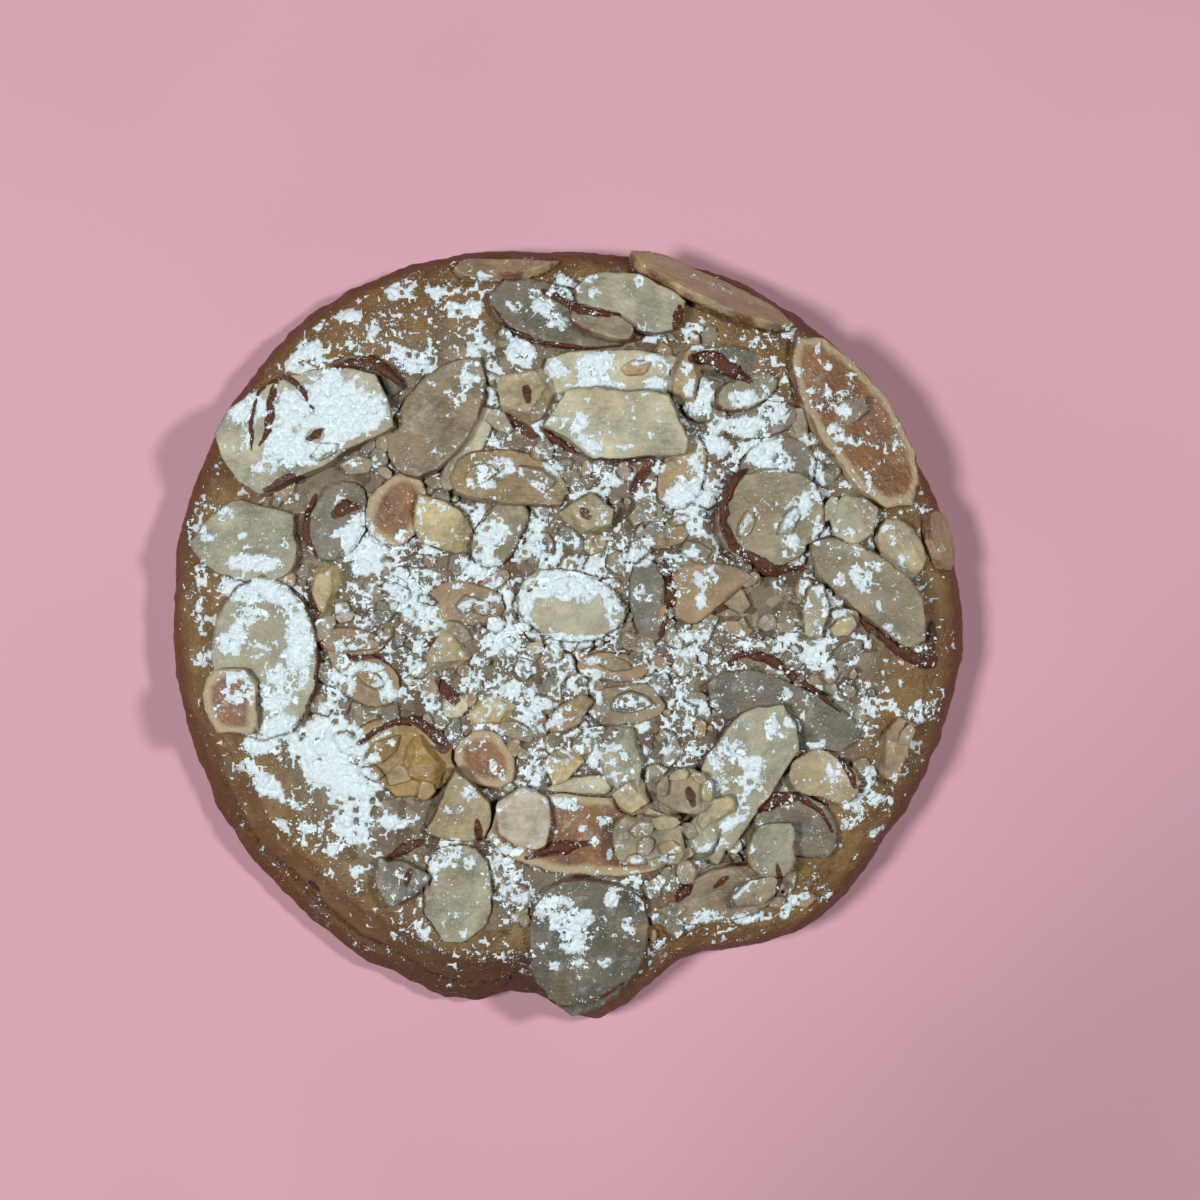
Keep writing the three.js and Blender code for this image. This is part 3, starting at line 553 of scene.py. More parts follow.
        (12.7, -33.7, 1.9, 1.2, 30, 0.85), (26.9, -29.6, 1.6, 1.0, 0, 0.95),
        (22.4, -33.7, 2.2, 0.8, 20, 0.75), (10.4, -34.8, 2.6, 1.4, 30, 0.88),
        (9.3, -35.9, 1.3, 1.2, 0, 0.85),
    ],
    "south": [
        (0.4, -32.0, 6.4, 2.8, 8, 0.9), (1.0, -33.7, 4.4, 2.2, 0, 0.8), (1.0, -35.1, 4.2, 1.8, 0, 0.82),
        (0.4, -37.2, 6.0, 1.8, 0, 0.58), (4.3, -37.0, 2.0, 1.4, 0, 0.78), (6.9, -32.6, 2.8, 1.6, 110, 0.85),
        (5.1, -29.6, 2.6, 2.0, 30, 0.9), (8.2, -28.7, 3.6, 2.8, 80, 1.0), (6.0, -28.1, 3.2, 1.6, 0, 0.9),
        (10.4, -27.8, 1.7, 1.4, 0, 0.9), (8.8, -30.3, 1.9, 1.2, 90, 0.9),
        (-5.7, -28.7, 7.6, 5.4, -35, 0.82), (-7.3, -25.9, 3.6, 3.2, 0, 0.78),
        (-2.9, -30.3, 4.4, 3.2, -20, 0.82), (-6.2, -32.2, 2.0, 1.4, 20, 0.85),
        (-0.7, -30.3, 3.2, 2.2, 0, 0.78), (-8.4, -28.1, 2.4, 2.2, 0, 0.75),
        (-5.0, -36.0, 8.0, 4.0, 0, 0.36),
    ],
    "south flakes": [
        (-12.9, -24.2, 4.4, 2.6, 15, 0.85), (-13.4, -25.9, 2.6, 1.2, 0, 0.75),
        (-10.7, -25.6, 2.0, 1.7, 90, 0.85), (-12.3, -33.0, 6.0, 3.4, 0, 0.45),
        (-10.7, -17.8, 2.0, 1.9, 0, 1.0), (-12.3, -19.6, 3.2, 1.1, 5, 0.9),
        (-7.7, -15.3, 3.2, 1.4, 125, 0.95), (-11.2, -12.2, 1.6, 1.0, 0, 0.8),
        (-6.2, -24.2, 4.6, 1.6, 5, 0.95), (-8.1, -22.9, 1.6, 1.2, 90, 0.9),
        (-0.1, -19.0, 4.8, 1.6, -12, 0.95), (1.8, -21.8, 1.2, 1.1, 0, 0.85),
        (3.2, -23.4, 1.8, 1.1, 90, 0.82), (4.9, -24.8, 1.7, 1.1, 90, 0.95), (7.9, -25.0, 1.8, 1.4, 0, 0.9),
        (11.3, -24.8, 2.2, 1.4, 0, 0.82), (8.8, -20.9, 3.2, 1.1, 12, 0.55), (4.3, -20.9, 1.8, 1.0, 0, 0.88),
        (12.7, -17.6, 2.8, 1.1, 85, 0.75), (14.9, -18.1, 1.9, 1.2, 90, 0.82),
    ],
    "west": [
        (-38.2, 13.3, 2.2, 2.0, 0, 0.9), (-41.2, 11.7, 2.2, 1.5, 0, 0.9), (-40.1, 10.6, 2.2, 1.1, 5, 0.9),
        (-35.1, 7.7, 7.0, 2.4, -3, 1.1), (-36.2, 10.8, 1.5, 1.1, 20, 0.78),
        (-31.2, 9.7, 1.7, 1.1, 110, 0.8), (-35.1, 4.7, 9.0, 3.2, -5, 1.05), (-30.7, 3.6, 4.4, 4.2, 0, 1.0),
        (-37.3, -0.9, 4.2, 3.6, 60, 1.05), (-29.6, -0.9, 11.5, 3.7, 88, 1.1),
        (-32.3, -6.4, 6.4, 5.0, 80, 0.95), (-32.1, -10.3, 5.2, 2.8, 10, 1.05),
        (-34.6, -2.0, 3.2, 2.2, 0, 0.82), (-35.1, 1.9, 5.2, 2.6, 0, 0.82), (-36.2, -5.9, 5.4, 4.4, 0, 0.76),
        (-40.7, 0.8, 3.2, 2.4, 90, 0.72), (-40.7, -2.6, 2.8, 1.7, 80, 0.9),
        (-41.4, 2.8, 1.9, 1.1, 90, 0.82), (-41.2, 6.3, 3.4, 2.4, 90, 0.6),
        (-41.6, -7.8, 1.6, 1.4, 60, 0.65), (-38.7, -12.6, 1.7, 1.2, 0, 0.75),
        (-41.0, 0.0, 26.0, 3.6, 90, 0.36), (-31.0, 15.0, 3.6, 1.6, 10, 0.75),
        (-24.6, 14.0, 3.0, 2.2, 0, 0.6), (-25.8, 10.9, 1.7, 1.4, 0, 0.8),
    ],
    "west of the middle": [
        (-22.7, 9.7, 7.4, 5.0, 100, 1.15), (-17.6, 3.6, 8.8, 4.4, -40, 1.1),
        (-15.7, 1.9, 4.4, 4.2, 0, 1.05), (-19.0, 6.9, 4.2, 2.2, -30, 0.82), (-15.1, 9.3, 2.6, 2.4, 0, 0.9),
        (-18.1, 10.8, 1.6, 1.2, 0, 0.88), (-17.3, 7.4, 3.2, 1.6, 0, 0.75), (-23.8, 4.9, 2.0, 1.6, 0, 0.75),
        (-22.3, 3.0, 1.7, 1.4, 0, 0.82), (-22.3, 0.2, 3.2, 2.2, 70, 0.78),
        (-20.4, -0.9, 3.2, 2.2, 110, 0.86), (-24.6, -1.4, 3.2, 1.6, 0, 0.78),
        (-22.3, -4.0, 4.2, 1.7, 0, 1.0), (-24.0, -5.9, 2.6, 1.7, 90, 1.0),
        (-20.1, -6.4, 4.2, 2.4, 105, 0.95), (-25.7, -6.4, 6.4, 2.2, 82, 1.0),
        (-26.8, -9.8, 4.4, 3.2, 80, 1.0), (-26.2, -13.7, 9.4, 9.0, 0, 1.2),
        (-24.0, -16.4, 7.4, 5.2, -20, 1.15), (-29.6, -12.6, 5.2, 4.2, 90, 0.95),
        (-34.6, -12.6, 4.8, 2.8, 0, 1.0), (-35.7, -15.1, 2.8, 2.4, 0, 0.95),
        (-31.2, -13.1, 5.2, 3.6, 90, 0.66), (-20.1, -12.2, 3.2, 2.8, 40, 0.82),
        (-21.6, -13.9, 2.0, 1.6, 0, 0.75),
    ],
    "south-west": [
        (-33.4, -17.3, 4.8, 2.8, -30, 0.95), (-30.7, -19.0, 4.4, 2.2, -20, 0.9),
        (-24.0, -20.9, 6.8, 5.2, 80, 0.96), (-27.3, -18.1, 4.4, 3.2, 0, 0.82),
        (-22.3, -17.0, 4.8, 3.0, 0, 0.96), (-28.4, -21.8, 4.8, 2.2, -20, 0.86),
        (-32.3, -21.4, 2.6, 1.6, -20, 0.75), (-26.2, -24.4, 2.8, 2.0, 10, 0.86),
        (-19.0, -21.1, 6.4, 2.2, 5, 0.86), (-21.2, -24.9, 2.2, 1.2, 0, 0.86),
        (-23.2, -26.7, 4.2, 1.4, 20, 0.74), (-27.0, -24.0, 16.0, 7.0, -40, 0.44),
        (-21.0, -31.0, 15.0, 8.0, -35, 0.33), (-18.4, -26.8, 2.2, 1.6, 0, 0.74),
        (-15.1, -26.2, 4.2, 2.4, 85, 0.78), (-16.2, -32.6, 5.2, 2.4, 100, 0.66),
    ],
}
DUSTINGS = [
    (0.0, 2.0, 62.0, 62.0, 0, 0.55), (24.0, 8.0, 38.0, 60.0, 20, 0.44), (-26.0, 0.0, 34.0, 62.0, 10, 0.42),
    (2.0, -28.0, 60.0, 26.0, 0, 0.36), (0.0, 0.0, 92.0, 90.0, 0, 0.20), (-15.0, 34.0, 34.0, 16.0, 25, 0.42),
]
BARE_SPOTS = [
    (0.5, 1.5, 8.2, 3.3, -10), (-27.8, 21.8, 2.0, 1.4, 20), (-4.4, -20.8, 6.0, 5.4, 60),
    (-34.2, 0.4, 2.6, 1.6, 30), (-34.3, 21.4, 1.6, 5.4, -10), (-4.4, 26.6, 2.6, 2.6, 0),
    (-27.6, -18.6, 2.2, 1.6, -60), (-21.6, -7.0, 1.4, 2.2, 0), (20.4, 2.8, 10.0, 6.4, -20),
    (12.6, -19.4, 8.6, 7.4, 0), (-16.8, -15.2, 8.6, 6.6, -20),
]
print(sum(len(rows) for rows in DRIFTS.values()), "drifts of sugar")


# %% How closely sugar covers a place
ROUGH_HOLD = 1.0  # the share of the thin dusting that rough dough and shards hold
CHOPPED_HOLD = 0.75  # chopped pieces hold less of it
SMOOTH_HOLD = 0.38  # and smooth slices least
DRIFT_EDGE = (0.6, 1.35)  # where a drift starts to thin out and where it ends, in shares of its size
BARE_EDGE = (0.75, 1.15)  # and the same for the sugar round a bare spot
LYING = (0.2, 0.7)  # sugar slides off below the first of these upward facings, and all lies above the second


def oval(plan, east, north, long, wide, turn):
    """How far out of an oval each place is: 0 in its middle, 1 on its edge."""
    heading = math.radians(turn)
    along = (plan[:, 0] - east) * math.cos(heading) + (plan[:, 1] - north) * math.sin(heading)
    across = (plan[:, 1] - north) * math.cos(heading) - (plan[:, 0] - east) * math.sin(heading)
    return np.hypot(along / (long / 2), across / (wide / 2))


def covered(plan, rows):
    """How closely the ovals in some rows cover each place in plan."""
    cover = np.zeros(len(plan))
    for *shape, closeness in rows:
        cover = np.maximum(cover, closeness * (1 - ramp(oval(plan, *shape), *DRIFT_EDGE)))
    return cover


def sugar_cover(plan, hold):
    """How closely sugar covers each place in plan, for ground that holds some share of the thin dusting."""
    cover = np.max([covered(plan, rows) for rows in DRIFTS.values()], axis=0)
    cover = np.maximum(cover, hold * covered(plan, DUSTINGS))
    for spot in BARE_SPOTS:
        cover *= ramp(oval(plan, *spot), *BARE_EDGE)
    return cover


def dusted(plan, upward, hold):
    """The sugar that lies at each place, from 1, buried, to -1, where it has slid off a steep face."""
    lying = ramp(upward, *LYING)
    return sugar_cover(plan, hold) * lying - (1 - lying)


print("the middle is covered by", sugar_cover(np.zeros((1, 2)), ROUGH_HOLD).round(2))

# %% [markdown]
# ## Brown skins
# Almonds are sliced with their skins on, so a dark line runs along part of a slice's edge, and loose curls
# of skin lie between the slices. Each is a short line in plan with a width at its start, middle and end, and
# the height of its ridge. A height of 0 marks a line that is only painted, mostly in a gap between slices,
# where its dark red-brown is partly the skins there and partly painted shade down in the gap. A point keeps
# how deep it lies inside the nearest line, and the materials turn that into colour.

# %% The lines of skin, and of painted shade in the gaps
SKIN_AND_SHADE_LINES = [
    ((0.4, 0.5, 0.4), 0.2, [(-35.0, 20.3), (-35.1, 23.5), (-34.4, 26.5), (-33.2, 28.3), (-31.5, 28.7)]),
    ((0.5, 1.1, 0.7), 0.3, [(-34.1, 20.8), (-33.2, 22.2), (-32.8, 24.2), (-32.9, 25.5), (-32.4, 27.6)]),
    ((0.6, 0.8, 0.4), 0.2, [(-31.5, 28.6), (-30.0, 27.8), (-29.2, 26.8), (-28.2, 24.8)]),
    ((0.8, 1.2, 0.6), 0.2, [(-28.4, 21.5), (-27.0, 22.6)]),
    ((0.6, 1.4, 0.7), 0.0, [(-33.4, 15.8), (-31.0, 17.0), (-29.2, 17.2)]),
    ((0.8, 1.5, 0.8), 0.4, [(-26.0, 29.5), (-23.8, 30.2), (-21.5, 30.0), (-19.6, 28.9), (-18.4, 27.6)]),
    ((0.4, 0.6, 0.3), 0.2, [(-8.3, 36.5), (-6.5, 34.0), (-3.0, 32.4), (3.0, 31.5)]),
    ((0.6, 1.2, 0.5), 0.3, [(-2.6, 38.2), (-0.5, 37.2), (1.2, 36.0), (3.5, 35.4), (6.0, 35.3)]),
    ((0.7, 1.0, 0.7), 0.3, [(12.7, 36.4), (12.2, 33.9)]),
    ((0.8, 1.4, 0.8), 0.0, [(-6.8, 24.2), (-5.0, 22.9), (-3.4, 21.8)]),
    ((0.7, 1.0, 0.5), 0.3, [(-2.6, 22.6), (-1.0, 21.3), (1.2, 19.9)]),
    ((0.9, 1.2, 0.9), 0.0, [(-4.4, 27.0), (-4.2, 25.8)]),
    ((1.2, 1.8, 0.8), 0.3, [(14.0, 30.4), (15.8, 30.6), (18.5, 29.2), (20.4, 28.0)]),
    ((0.7, 1.2, 1.0), 0.5, [(20.2, 18.2), (18.8, 17.0), (17.5, 14.6), (17.4, 12.0), (18.4, 10.0)]),
    ((1.1, 1.5, 0.5), 0.2, [(18.5, 9.6), (20.6, 8.2), (23.0, 7.0), (27.0, 7.1)]),
    ((0.8, 1.4, 0.7), 0.2, [(11.0, 8.0), (11.7, 5.0), (11.4, 1.6), (10.4, -0.3)]),
    ((0.3, 0.6, 0.3), 0.0, [(14.4, 0.9), (17.0, 2.3), (19.8, 3.9)]),
    ((0.8, 1.3, 0.4), 0.5,
     [(18.0, -4.0), (19.0, -2.6), (20.3, -2.3), (23.0, -3.2), (26.0, -5.3), (30.6, -8.9)]),
    ((0.6, 1.1, 1.9), 0.4, [(31.0, 3.0), (34.0, 0.4), (37.0, -1.9), (40.0, -3.5), (41.0, -3.2)]),
    ((1.4, 1.3, 0.7), 0.2, [(40.8, -2.6), (40.9, -0.4), (41.0, 1.2)]),
    ((0.9, 1.7, 1.1), 0.5, [(21.6, -19.8), (23.5, -18.5), (26.0, -18.3)]),
    ((0.9, 0.5, 0.3), 0.3, [(26.0, -18.4), (28.5, -20.0), (29.8, -22.4)]),
    ((1.1, 1.7, 0.9), 0.3, [(12.6, -29.6), (13.8, -28.3)]),
    ((0.4, 0.7, 0.4), 0.3, [(23.4, -25.6), (23.8, -27.5), (23.4, -29.4)]),
    ((0.6, 0.9, 0.5), 0.0, [(16.6, -28.4), (18.0, -27.3)]),
    ((0.6, 1.0, 0.6), 0.3, [(30.7, -14.2), (31.6, -15.6), (32.2, -17.2)]),
    ((0.9, 1.2, 0.8), 0.0, [(-29.1, -28.6), (-28.2, -29.3)]),
    ((0.5, 0.9, 1.8), 0.5,
     [(-23.8, -12.9), (-21.5, -11.2), (-19.0, -9.9), (-17.0, -9.8), (-15.2, -10.8), (-13.6, -12.6)]),
    ((0.8, 1.4, 0.8), 0.3, [(-19.8, -25.2), (-18.0, -24.1), (-16.2, -23.4)]),
    ((0.6, 1.0, 0.4), 0.2, [(-17.4, -26.6), (-17.9, -28.2)]),
    ((0.5, 0.9, 0.5), 0.3, [(-28.0, 15.4), (-28.8, 13.0), (-28.9, 10.5), (-27.8, 8.6)]),
    ((1.0, 1.7, 0.7), 0.2, [(-25.8, 13.2), (-24.4, 14.0), (-23.0, 14.0)]),
    ((0.5, 0.9, 0.5), 0.0, [(-29.0, 5.6), (-27.8, 2.0), (-27.3, -2.0), (-27.7, -6.0), (-29.5, -9.8)]),
    ((0.4, 0.7, 0.4), 0.0, [(-26.8, -2.8), (-23.0, -2.9), (-19.0, -2.4)]),
    ((1.0, 1.5, 0.8), 0.2, [(-14.2, -5.4), (-12.8, -7.0), (-11.4, -9.0)]),
    ((0.6, 1.7, 0.8), 0.4, [(-4.4, -25.1), (-1.5, -24.1), (2.5, -23.4)]),
    ((0.9, 1.4, 0.8), 0.0, [(13.6, -17.4), (14.1, -19.0)]),
    ((0.6, 1.0, 0.6), 0.0, [(-9.8, -20.9), (-9.6, -23.4)]),
    ((0.8, 1.3, 0.9), 0.0, [(7.4, 15.6), (8.4, 17.4), (9.6, 19.0)]),
    ((0.3, 0.7, 0.3), 0.0, [(2.5, 19.3), (6.0, 18.9), (10.0, 19.5)]),
    ((0.9, 1.2, 0.8), 0.0, [(1.9, 13.5), (2.4, 12.8)]),
    ((0.3, 0.5, 0.3), 0.1, [(-5.6, 2.0), (-4.4, -0.6), (-1.0, -2.2), (2.6, -2.0), (5.6, -0.6)]),
    ((0.3, 0.4, 0.3), 0.0, [(6.6, 1.6), (6.2, 4.0), (4.0, 6.0), (0.6, 6.6), (-3.0, 5.6), (-5.4, 3.6)]),
    ((0.3, 0.4, 0.3), 0.0, [(-3.6, -38.6), (-2.6, -41.0), (-0.4, -42.0), (3.0, -41.6), (6.4, -39.4)]),
]
SKIN_WOBBLE = 0.16  # how far a skin's edge strays, in millimetres
NO_SKIN = -2.0  # the depth that is kept where no skin is near


def skin_and_shade_depth(plan):
    """How deep each place in plan lies inside a line, of skin and of painted gap shade alike, in millimetres;
    below 0 it is outside.
    """
    depth = np.full(len(plan), NO_SKIN)
    for (start, middle, end), _, line in SKIN_AND_SHADE_LINES:
        legs = len(line) - 1
        for leg, (first, second) in enumerate(zip(line, line[1:])):
            run = np.subtract(second, first)
            share = np.clip((plan - first) @ run / (run @ run), 0, 1)
            along = (leg + share) / legs
            width = np.interp(along, (0, 0.5, 1), (start, middle, end))
            away = np.linalg.norm(plan - first - share[:, None] * run, axis=1)
            depth = np.maximum(depth, width / 2 - away)
    return depth + SKIN_WOBBLE * lumps(plan, 0.8, 3) * (depth > -1)


print(len(SKIN_AND_SHADE_LINES), "skins")

# %% [markdown]
# ## Where the chopped almonds lie
# The small chopped pieces are part of the solids they lie on, as plain lumps. They get a look of their own
# further on. Under each of them the dough or the flake is pressed flat again, so that the lump can't show.
# A row has the piece's middle, length, width, rise, bearing and tint.

# %% Places of the chopped pieces
PRESSED_OUT = 0.85  # the share of a lump's rise that is pressed out
PRESSED_ROUND = 1.2  # how far round it, in shares of its size
LEFT_STANDING = 0.1  # the share of what stood there that still does
CHOPPED = [
    (-4.4, 26.4, 5.6, 5.0, 2.6, 20, "cream"), (13.4, 28.3, 5.0, 3.2, 1.8, 80, "cream tan"),
    (-14.2, 12.2, 7.0, 4.6, 1.6, -58, "butter"), (-27.1, 4.9, 4.8, 3.2, 1.8, 75, "butter"),
    (2.8, 13.4, 4.9, 4.4, 2.4, 40, "cream"), (32.0, 12.9, 5.0, 4.4, 1.3, 80, "olive ivory"),
    (36.4, -12.9, 5.8, 3.4, 2.0, 70, "biscuit"), (-4.4, -21.0, 6.2, 5.8, 1.1, 60, "rosy ivory"),
    (7.5, -18.4, 3.8, 3.4, 2.2, 10, "cream"), (13.2, -17.6, 6.2, 4.6, 1.2, -20, "wheat"),
    (16.9, -19.6, 4.2, 2.6, 1.6, 25, "cream"), (15.0, -22.4, 5.0, 3.4, 1.4, 80, "olive ivory"),
    (-0.4, -15.0, 4.0, 3.2, 1.6, 30, "butter"), (6.4, -14.2, 6.0, 4.4, 1.5, 88, "olive ivory"),
    (-15.6, -14.6, 5.2, 3.6, 1.4, -60, "gold"), (-18.6, -27.6, 5.8, 4.8, 1.3, -20, "glassy"),
    (-13.4, -2.2, 4.6, 4.0, 2.0, 50, "cream"), (-8.2, -8.6, 4.4, 2.8, 1.6, 10, "butter"),
    (0.2, -9.0, 6.0, 2.6, 1.3, 40, "biscuit"), (17.6, 30.0, 5.8, 3.4, 1.4, -12, "glassy"),
    (27.6, 2.6, 5.8, 2.6, 1.3, 86, "olive ivory"), (21.0, -28.9, 5.6, 2.6, 1.1, 24, "taupe"),
    (30.8, 0.6, 2.8, 1.8, 1.1, 30, "cream"),
]
lump_tops = {row[:2]: top_of(solids, row[:2]).z for row in CHOPPED}


def press_lumps(points):
    """Lowers what stands up where a chopped piece will lie."""
    plan = in_plan(points)
    for east, north, long, wide, rise, turn, _ in CHOPPED:
        floor = lump_tops[east, north] - PRESSED_OUT * rise * MM
        under = (oval(plan, east, north, long, wide, turn) < PRESSED_ROUND) & (points[:, 2] > floor)
        points[under, 2] = floor + LEFT_STANDING * (points[under, 2] - floor)


print(len(CHOPPED), "chopped pieces")

# %% [markdown]
# ## Tints of almond
# No two slices have one colour: some are bare ivory, some have soaked up butter and are glassy and grey,
# some are toasted. Each slice gets one of a few tints, by its slot or by name, and its points keep it.

# %% The tints
TINTS = {
    "ivory": (0.54, 0.51, 0.35),
    "rosy ivory": (0.46, 0.41, 0.31),
    "olive ivory": (0.34, 0.325, 0.225),
    "pale ivory": (0.43, 0.41, 0.29),
    "wheat": (0.30, 0.26, 0.165),
    "glassy": (0.195, 0.175, 0.130),
    "wet": (0.158, 0.146, 0.110),
    "taupe": (0.29, 0.235, 0.150),
    "cream": (0.43, 0.365, 0.215),
    "butter": (0.50, 0.405, 0.205),
    "cream tan": (0.40, 0.295, 0.155),
    "biscuit": (0.33, 0.230, 0.125),
    "gold": (0.36, 0.235, 0.078),
    "toasted": (0.245, 0.115, 0.040),
}
SLOT_TINTS = {
    "almond_ivory": "ivory",
    "almond_grey": "glassy",
    "almond_yellow": "cream",
    "almond_tan": "biscuit",
    "almond_toasted": "toasted",
}
OWN_TINTS = {
    "flake_west_upper": "olive ivory",
    "flake_west_large": "olive ivory",
    "flake_north_ivory": "pale ivory",
    "flake_southwest_large": "olive ivory",
    "flake_southeast_upper": "olive ivory",
    "flake_southeast_broad": "pale ivory",
    "flake_east_large": "wheat",
    "flake_northeast_sugared": "wheat",
    "flake_centre_west": "wheat",
    "wedge_southwest": "cream",
    "chunk_north": "wheat",
    "flake_northwest_taupe": "taupe",
    "slab_southeast": "taupe",
    "flake_south_inner": "taupe",
    "flake_southwest_skin": "gold",
    "flake_centre_tan": "cream tan",
    "flake_northeast_tan": "cream tan",
    "flake_east_round": "wheat",
    "flake_rim_northeast": "cream tan",
    "flake_rim_north": "cream tan",
    "chunk_south": "wheat",
    "flake_south_rim": "wet",
    "flake_southeast_long": "wet",
    "slab_centre": "pale ivory",
    "slab_northwest": "pale ivory",
}


def paint_tint(mesh, tint):
    """Keeps a tint, by its name, for each point of a mesh."""
    layer = mesh.attributes.new("tint", "FLOAT_COLOR", "POINT")
    layer.data.foreach_set("color", np.tile((*TINTS[tint], 1), len(mesh.vertices)))


print(len(TINTS), "tints")

# %% [markdown]
# ## The sliced almonds
# A sliced almond is flat and smooth, a millimetre or two thick, with a crisp and often broken edge. Some of
# the copies are trimmed by straight breaks first. Each is remeshed, rippled a little and nicked along its
# edge. Its own frame comes from its points: the shortest spread is across its faces and the longest is its
# length. The distance from its edge drives the nicks and the colour of the border.

# %% Shape the almonds
ALMOND_CELL = 0.3 * MM
EDGE_DIRECTIONS = 48
NICKS = [(3.4, 0.32, 3), (1.1, 0.14, 4)]  # size and depth in millimetres, seed
BREAK_TILT = 0.15  # how far a break leans, as a rise over a run
BREAKS = {  # a point on each break in plan, and the bearing that it faces in degrees
    "slab_north": [(6.0, 19.5, 270), (-0.4, 21.7, 237)],
    "wedge_southwest": [(-13.9, -18.6, 156), (-10.1, -17.3, 42)],
    "flake_east_large": [(33.4, 2.0, 232), (27.6, 8.6, 190)],
    "flake_west_toasted": [(-36.5, -4.2, 92), (-34.3, -8.0, 0), (-36.5, -11.4, 266)],
    "flake_southwest_large": [(-9.6, -33.2, 310), (-15.4, -32.2, 215), (-15.9, -27.0, 170)],
    "flake_south_inner": [(3.0, -9.2, 228), (9.8, -6.8, 40)],
    "flake_centre_lower": [(1.8, -3.2, 160)],
    "flake_west_round": [(-23.4, 9.6, 320)],
    "flake_rim_north": [(-6.6, 41.9, 88)],
    "wedge_east": [(17.0, 3.1, -49)],
    "flake_west_upper": [(-30.2, 10.6, 2), (-33.0, 13.9, 78)],
    "flake_southwest_tan": [(-11.6, -12.0, 130), (-6.6, -12.6, 35)],
}


def broken_copy(name, node):
    """A copy of a solid with its triangles joined up and its breaks cut."""
    bm = merged_solid(node)
    for east, north, bearing in BREAKS.get(node, []):
        heading = math.radians(bearing)
        facing = Vector((math.cos(heading), math.sin(heading), BREAK_TILT)).normalized()
        place = on_ground((east, north)) + Vector((0, 0, top_of(solids, (east, north)).z))
        cut_off(bm, place, facing, HAIR)
    return piece_of(name, bm)


def flake_frame(points):
    """The middle of a flake and its directions: along, across and up."""
    middle = points.mean(axis=0)
    axes = np.linalg.svd(points - middle, full_matrices=False)[2]
    up = axes[2] * np.sign(axes[2][2])
    return middle, np.stack([axes[0], np.cross(up, axes[0]), up])


def edge_distance(local):
    """How far each point lies from a flake's edge, in millimetres, in the flake's own frame."""
    bearings = np.arange(EDGE_DIRECTIONS) / EDGE_DIRECTIONS * math.tau
    reach = local[:, :2] @ np.stack([np.cos(bearings), np.sin(bearings)])
    return (reach.max(axis=0) - reach).min(axis=1)


def nicked(local, edge, seed):
    """Moves the points near a flake's edge in and out, as broken edges are."""
    outward = local * (1, 1, 0)
    outward /= np.linalg.norm(outward, axis=1)[:, None] + 1e-6
    flat = local * (1, 1, 0.3)
    depth = layered(flat, NICKS, seed)
    return outward * ((1 - ramp(edge, 0.3, 2.2)) * depth)[:, None]


def shape_flake(node, seed):
    """A finished flake, with all that its material reads."""
    flake = broken_copy(node + "_flake", node)
    crisp_skin(flake, ALMOND_CELL)
    mesh = flake.data
    points = points_of(mesh)
    press_lumps(points)
    middle, axes = flake_frame(points)
    local = (points - middle) @ axes.T / MM
    edge = edge_distance(local)
    points += nicked(local, edge, seed) @ axes * MM
    move_points(mesh, points)
    normals = normals_of(mesh)
    relief = 0.1 * lumps(local, 3.4, seed) + 0.03 * lumps(local * (0.35, 1, 1), 0.8, seed + 1)
    points += normals * (relief * MM)[:, None]
    move_points(mesh, points)
    plan = in_plan(points)
    paint(mesh, "edge", edge)
    paint(mesh, "upward", normals[:, 2])
    paint(mesh, "skin", np.where(normals[:, 2] > -0.2, skin_and_shade_depth(plan), NO_SKIN))
    paint(mesh, "dusting", dusted(plan, normals[:, 2], SMOOTH_HOLD))
    paint_tint(mesh, OWN_TINTS.get(node, SLOT_TINTS[slot_of[node]]))
    grain = mesh.attributes.new("grain", "FLOAT_VECTOR", "POINT")
    grain.data.foreach_set("vector", (local * MM + seed * 0.05).astype(np.float32).ravel())
    return flake


almonds = {}
for slot in SLOT_TINTS:
    members = [node for node in sorted(nodes) if slot_of[node] == slot]
    flakes = [shape_flake(node, seed) for seed, node in enumerate(members)]
    almonds[slot] = joined(slot + "_flakes", flakes)
    finish_piece(almonds[slot], slot, *members)

# %% [markdown]
# ## The dough
# The crown of the real cookie is golden and lumpy, with pores and fine cracks, and its wall is darker and
# more broken. A remeshed copy of the solid has points enough to carry that as real relief: broad lumps, then
# finer ones, with the flat underside left alone so that it still lies still. Between the almonds the dough
# came up in the oven and closed round them, and in the south-west it ran out flat before it set.

# %% Shape the dough
DOUGH_VOXEL = 0.45 * MM
BELOW_ALMOND = 0.8  # millimetres by which the dough stays under an almond's face
SECTORS = 180  # the outline is measured in this many directions


def bearings_of(points):
    """The bearing of each point from the middle, in degrees from 0 to 360."""
    return np.degrees(np.arctan2(points[:, 1], points[:, 0])) % 360


def rim_share(points):
    """How far out towards the cookie's edge each point lies, from 0 to 1."""
    plan = points[:, :2]
    bearing = np.arctan2(plan[:, 1], plan[:, 0])
    sector = ((bearing + math.pi) / math.tau * SECTORS).astype(int) % SECTORS
    radius = np.hypot(plan[:, 0], plan[:, 1])
    reach = np.zeros(SECTORS)
    np.maximum.at(reach, sector, radius)
    return radius / reach[sector]


def slumped(points, share):
    """Lowers the wall in the south-west, and tells how far each point is part of that."""
    bearing = bearings_of(points)
    here = ramp(bearing, 188, 208) * (1 - ramp(bearing, 250, 268))
    highest = np.interp(share, (0.82, 0.88, 0.93, 0.97, 1.0), (16.0, 9.4, 7.0, 4.6, 2.8)) * MM
    points[:, 2] -= here * np.maximum(points[:, 2] - highest, 0)
    return here


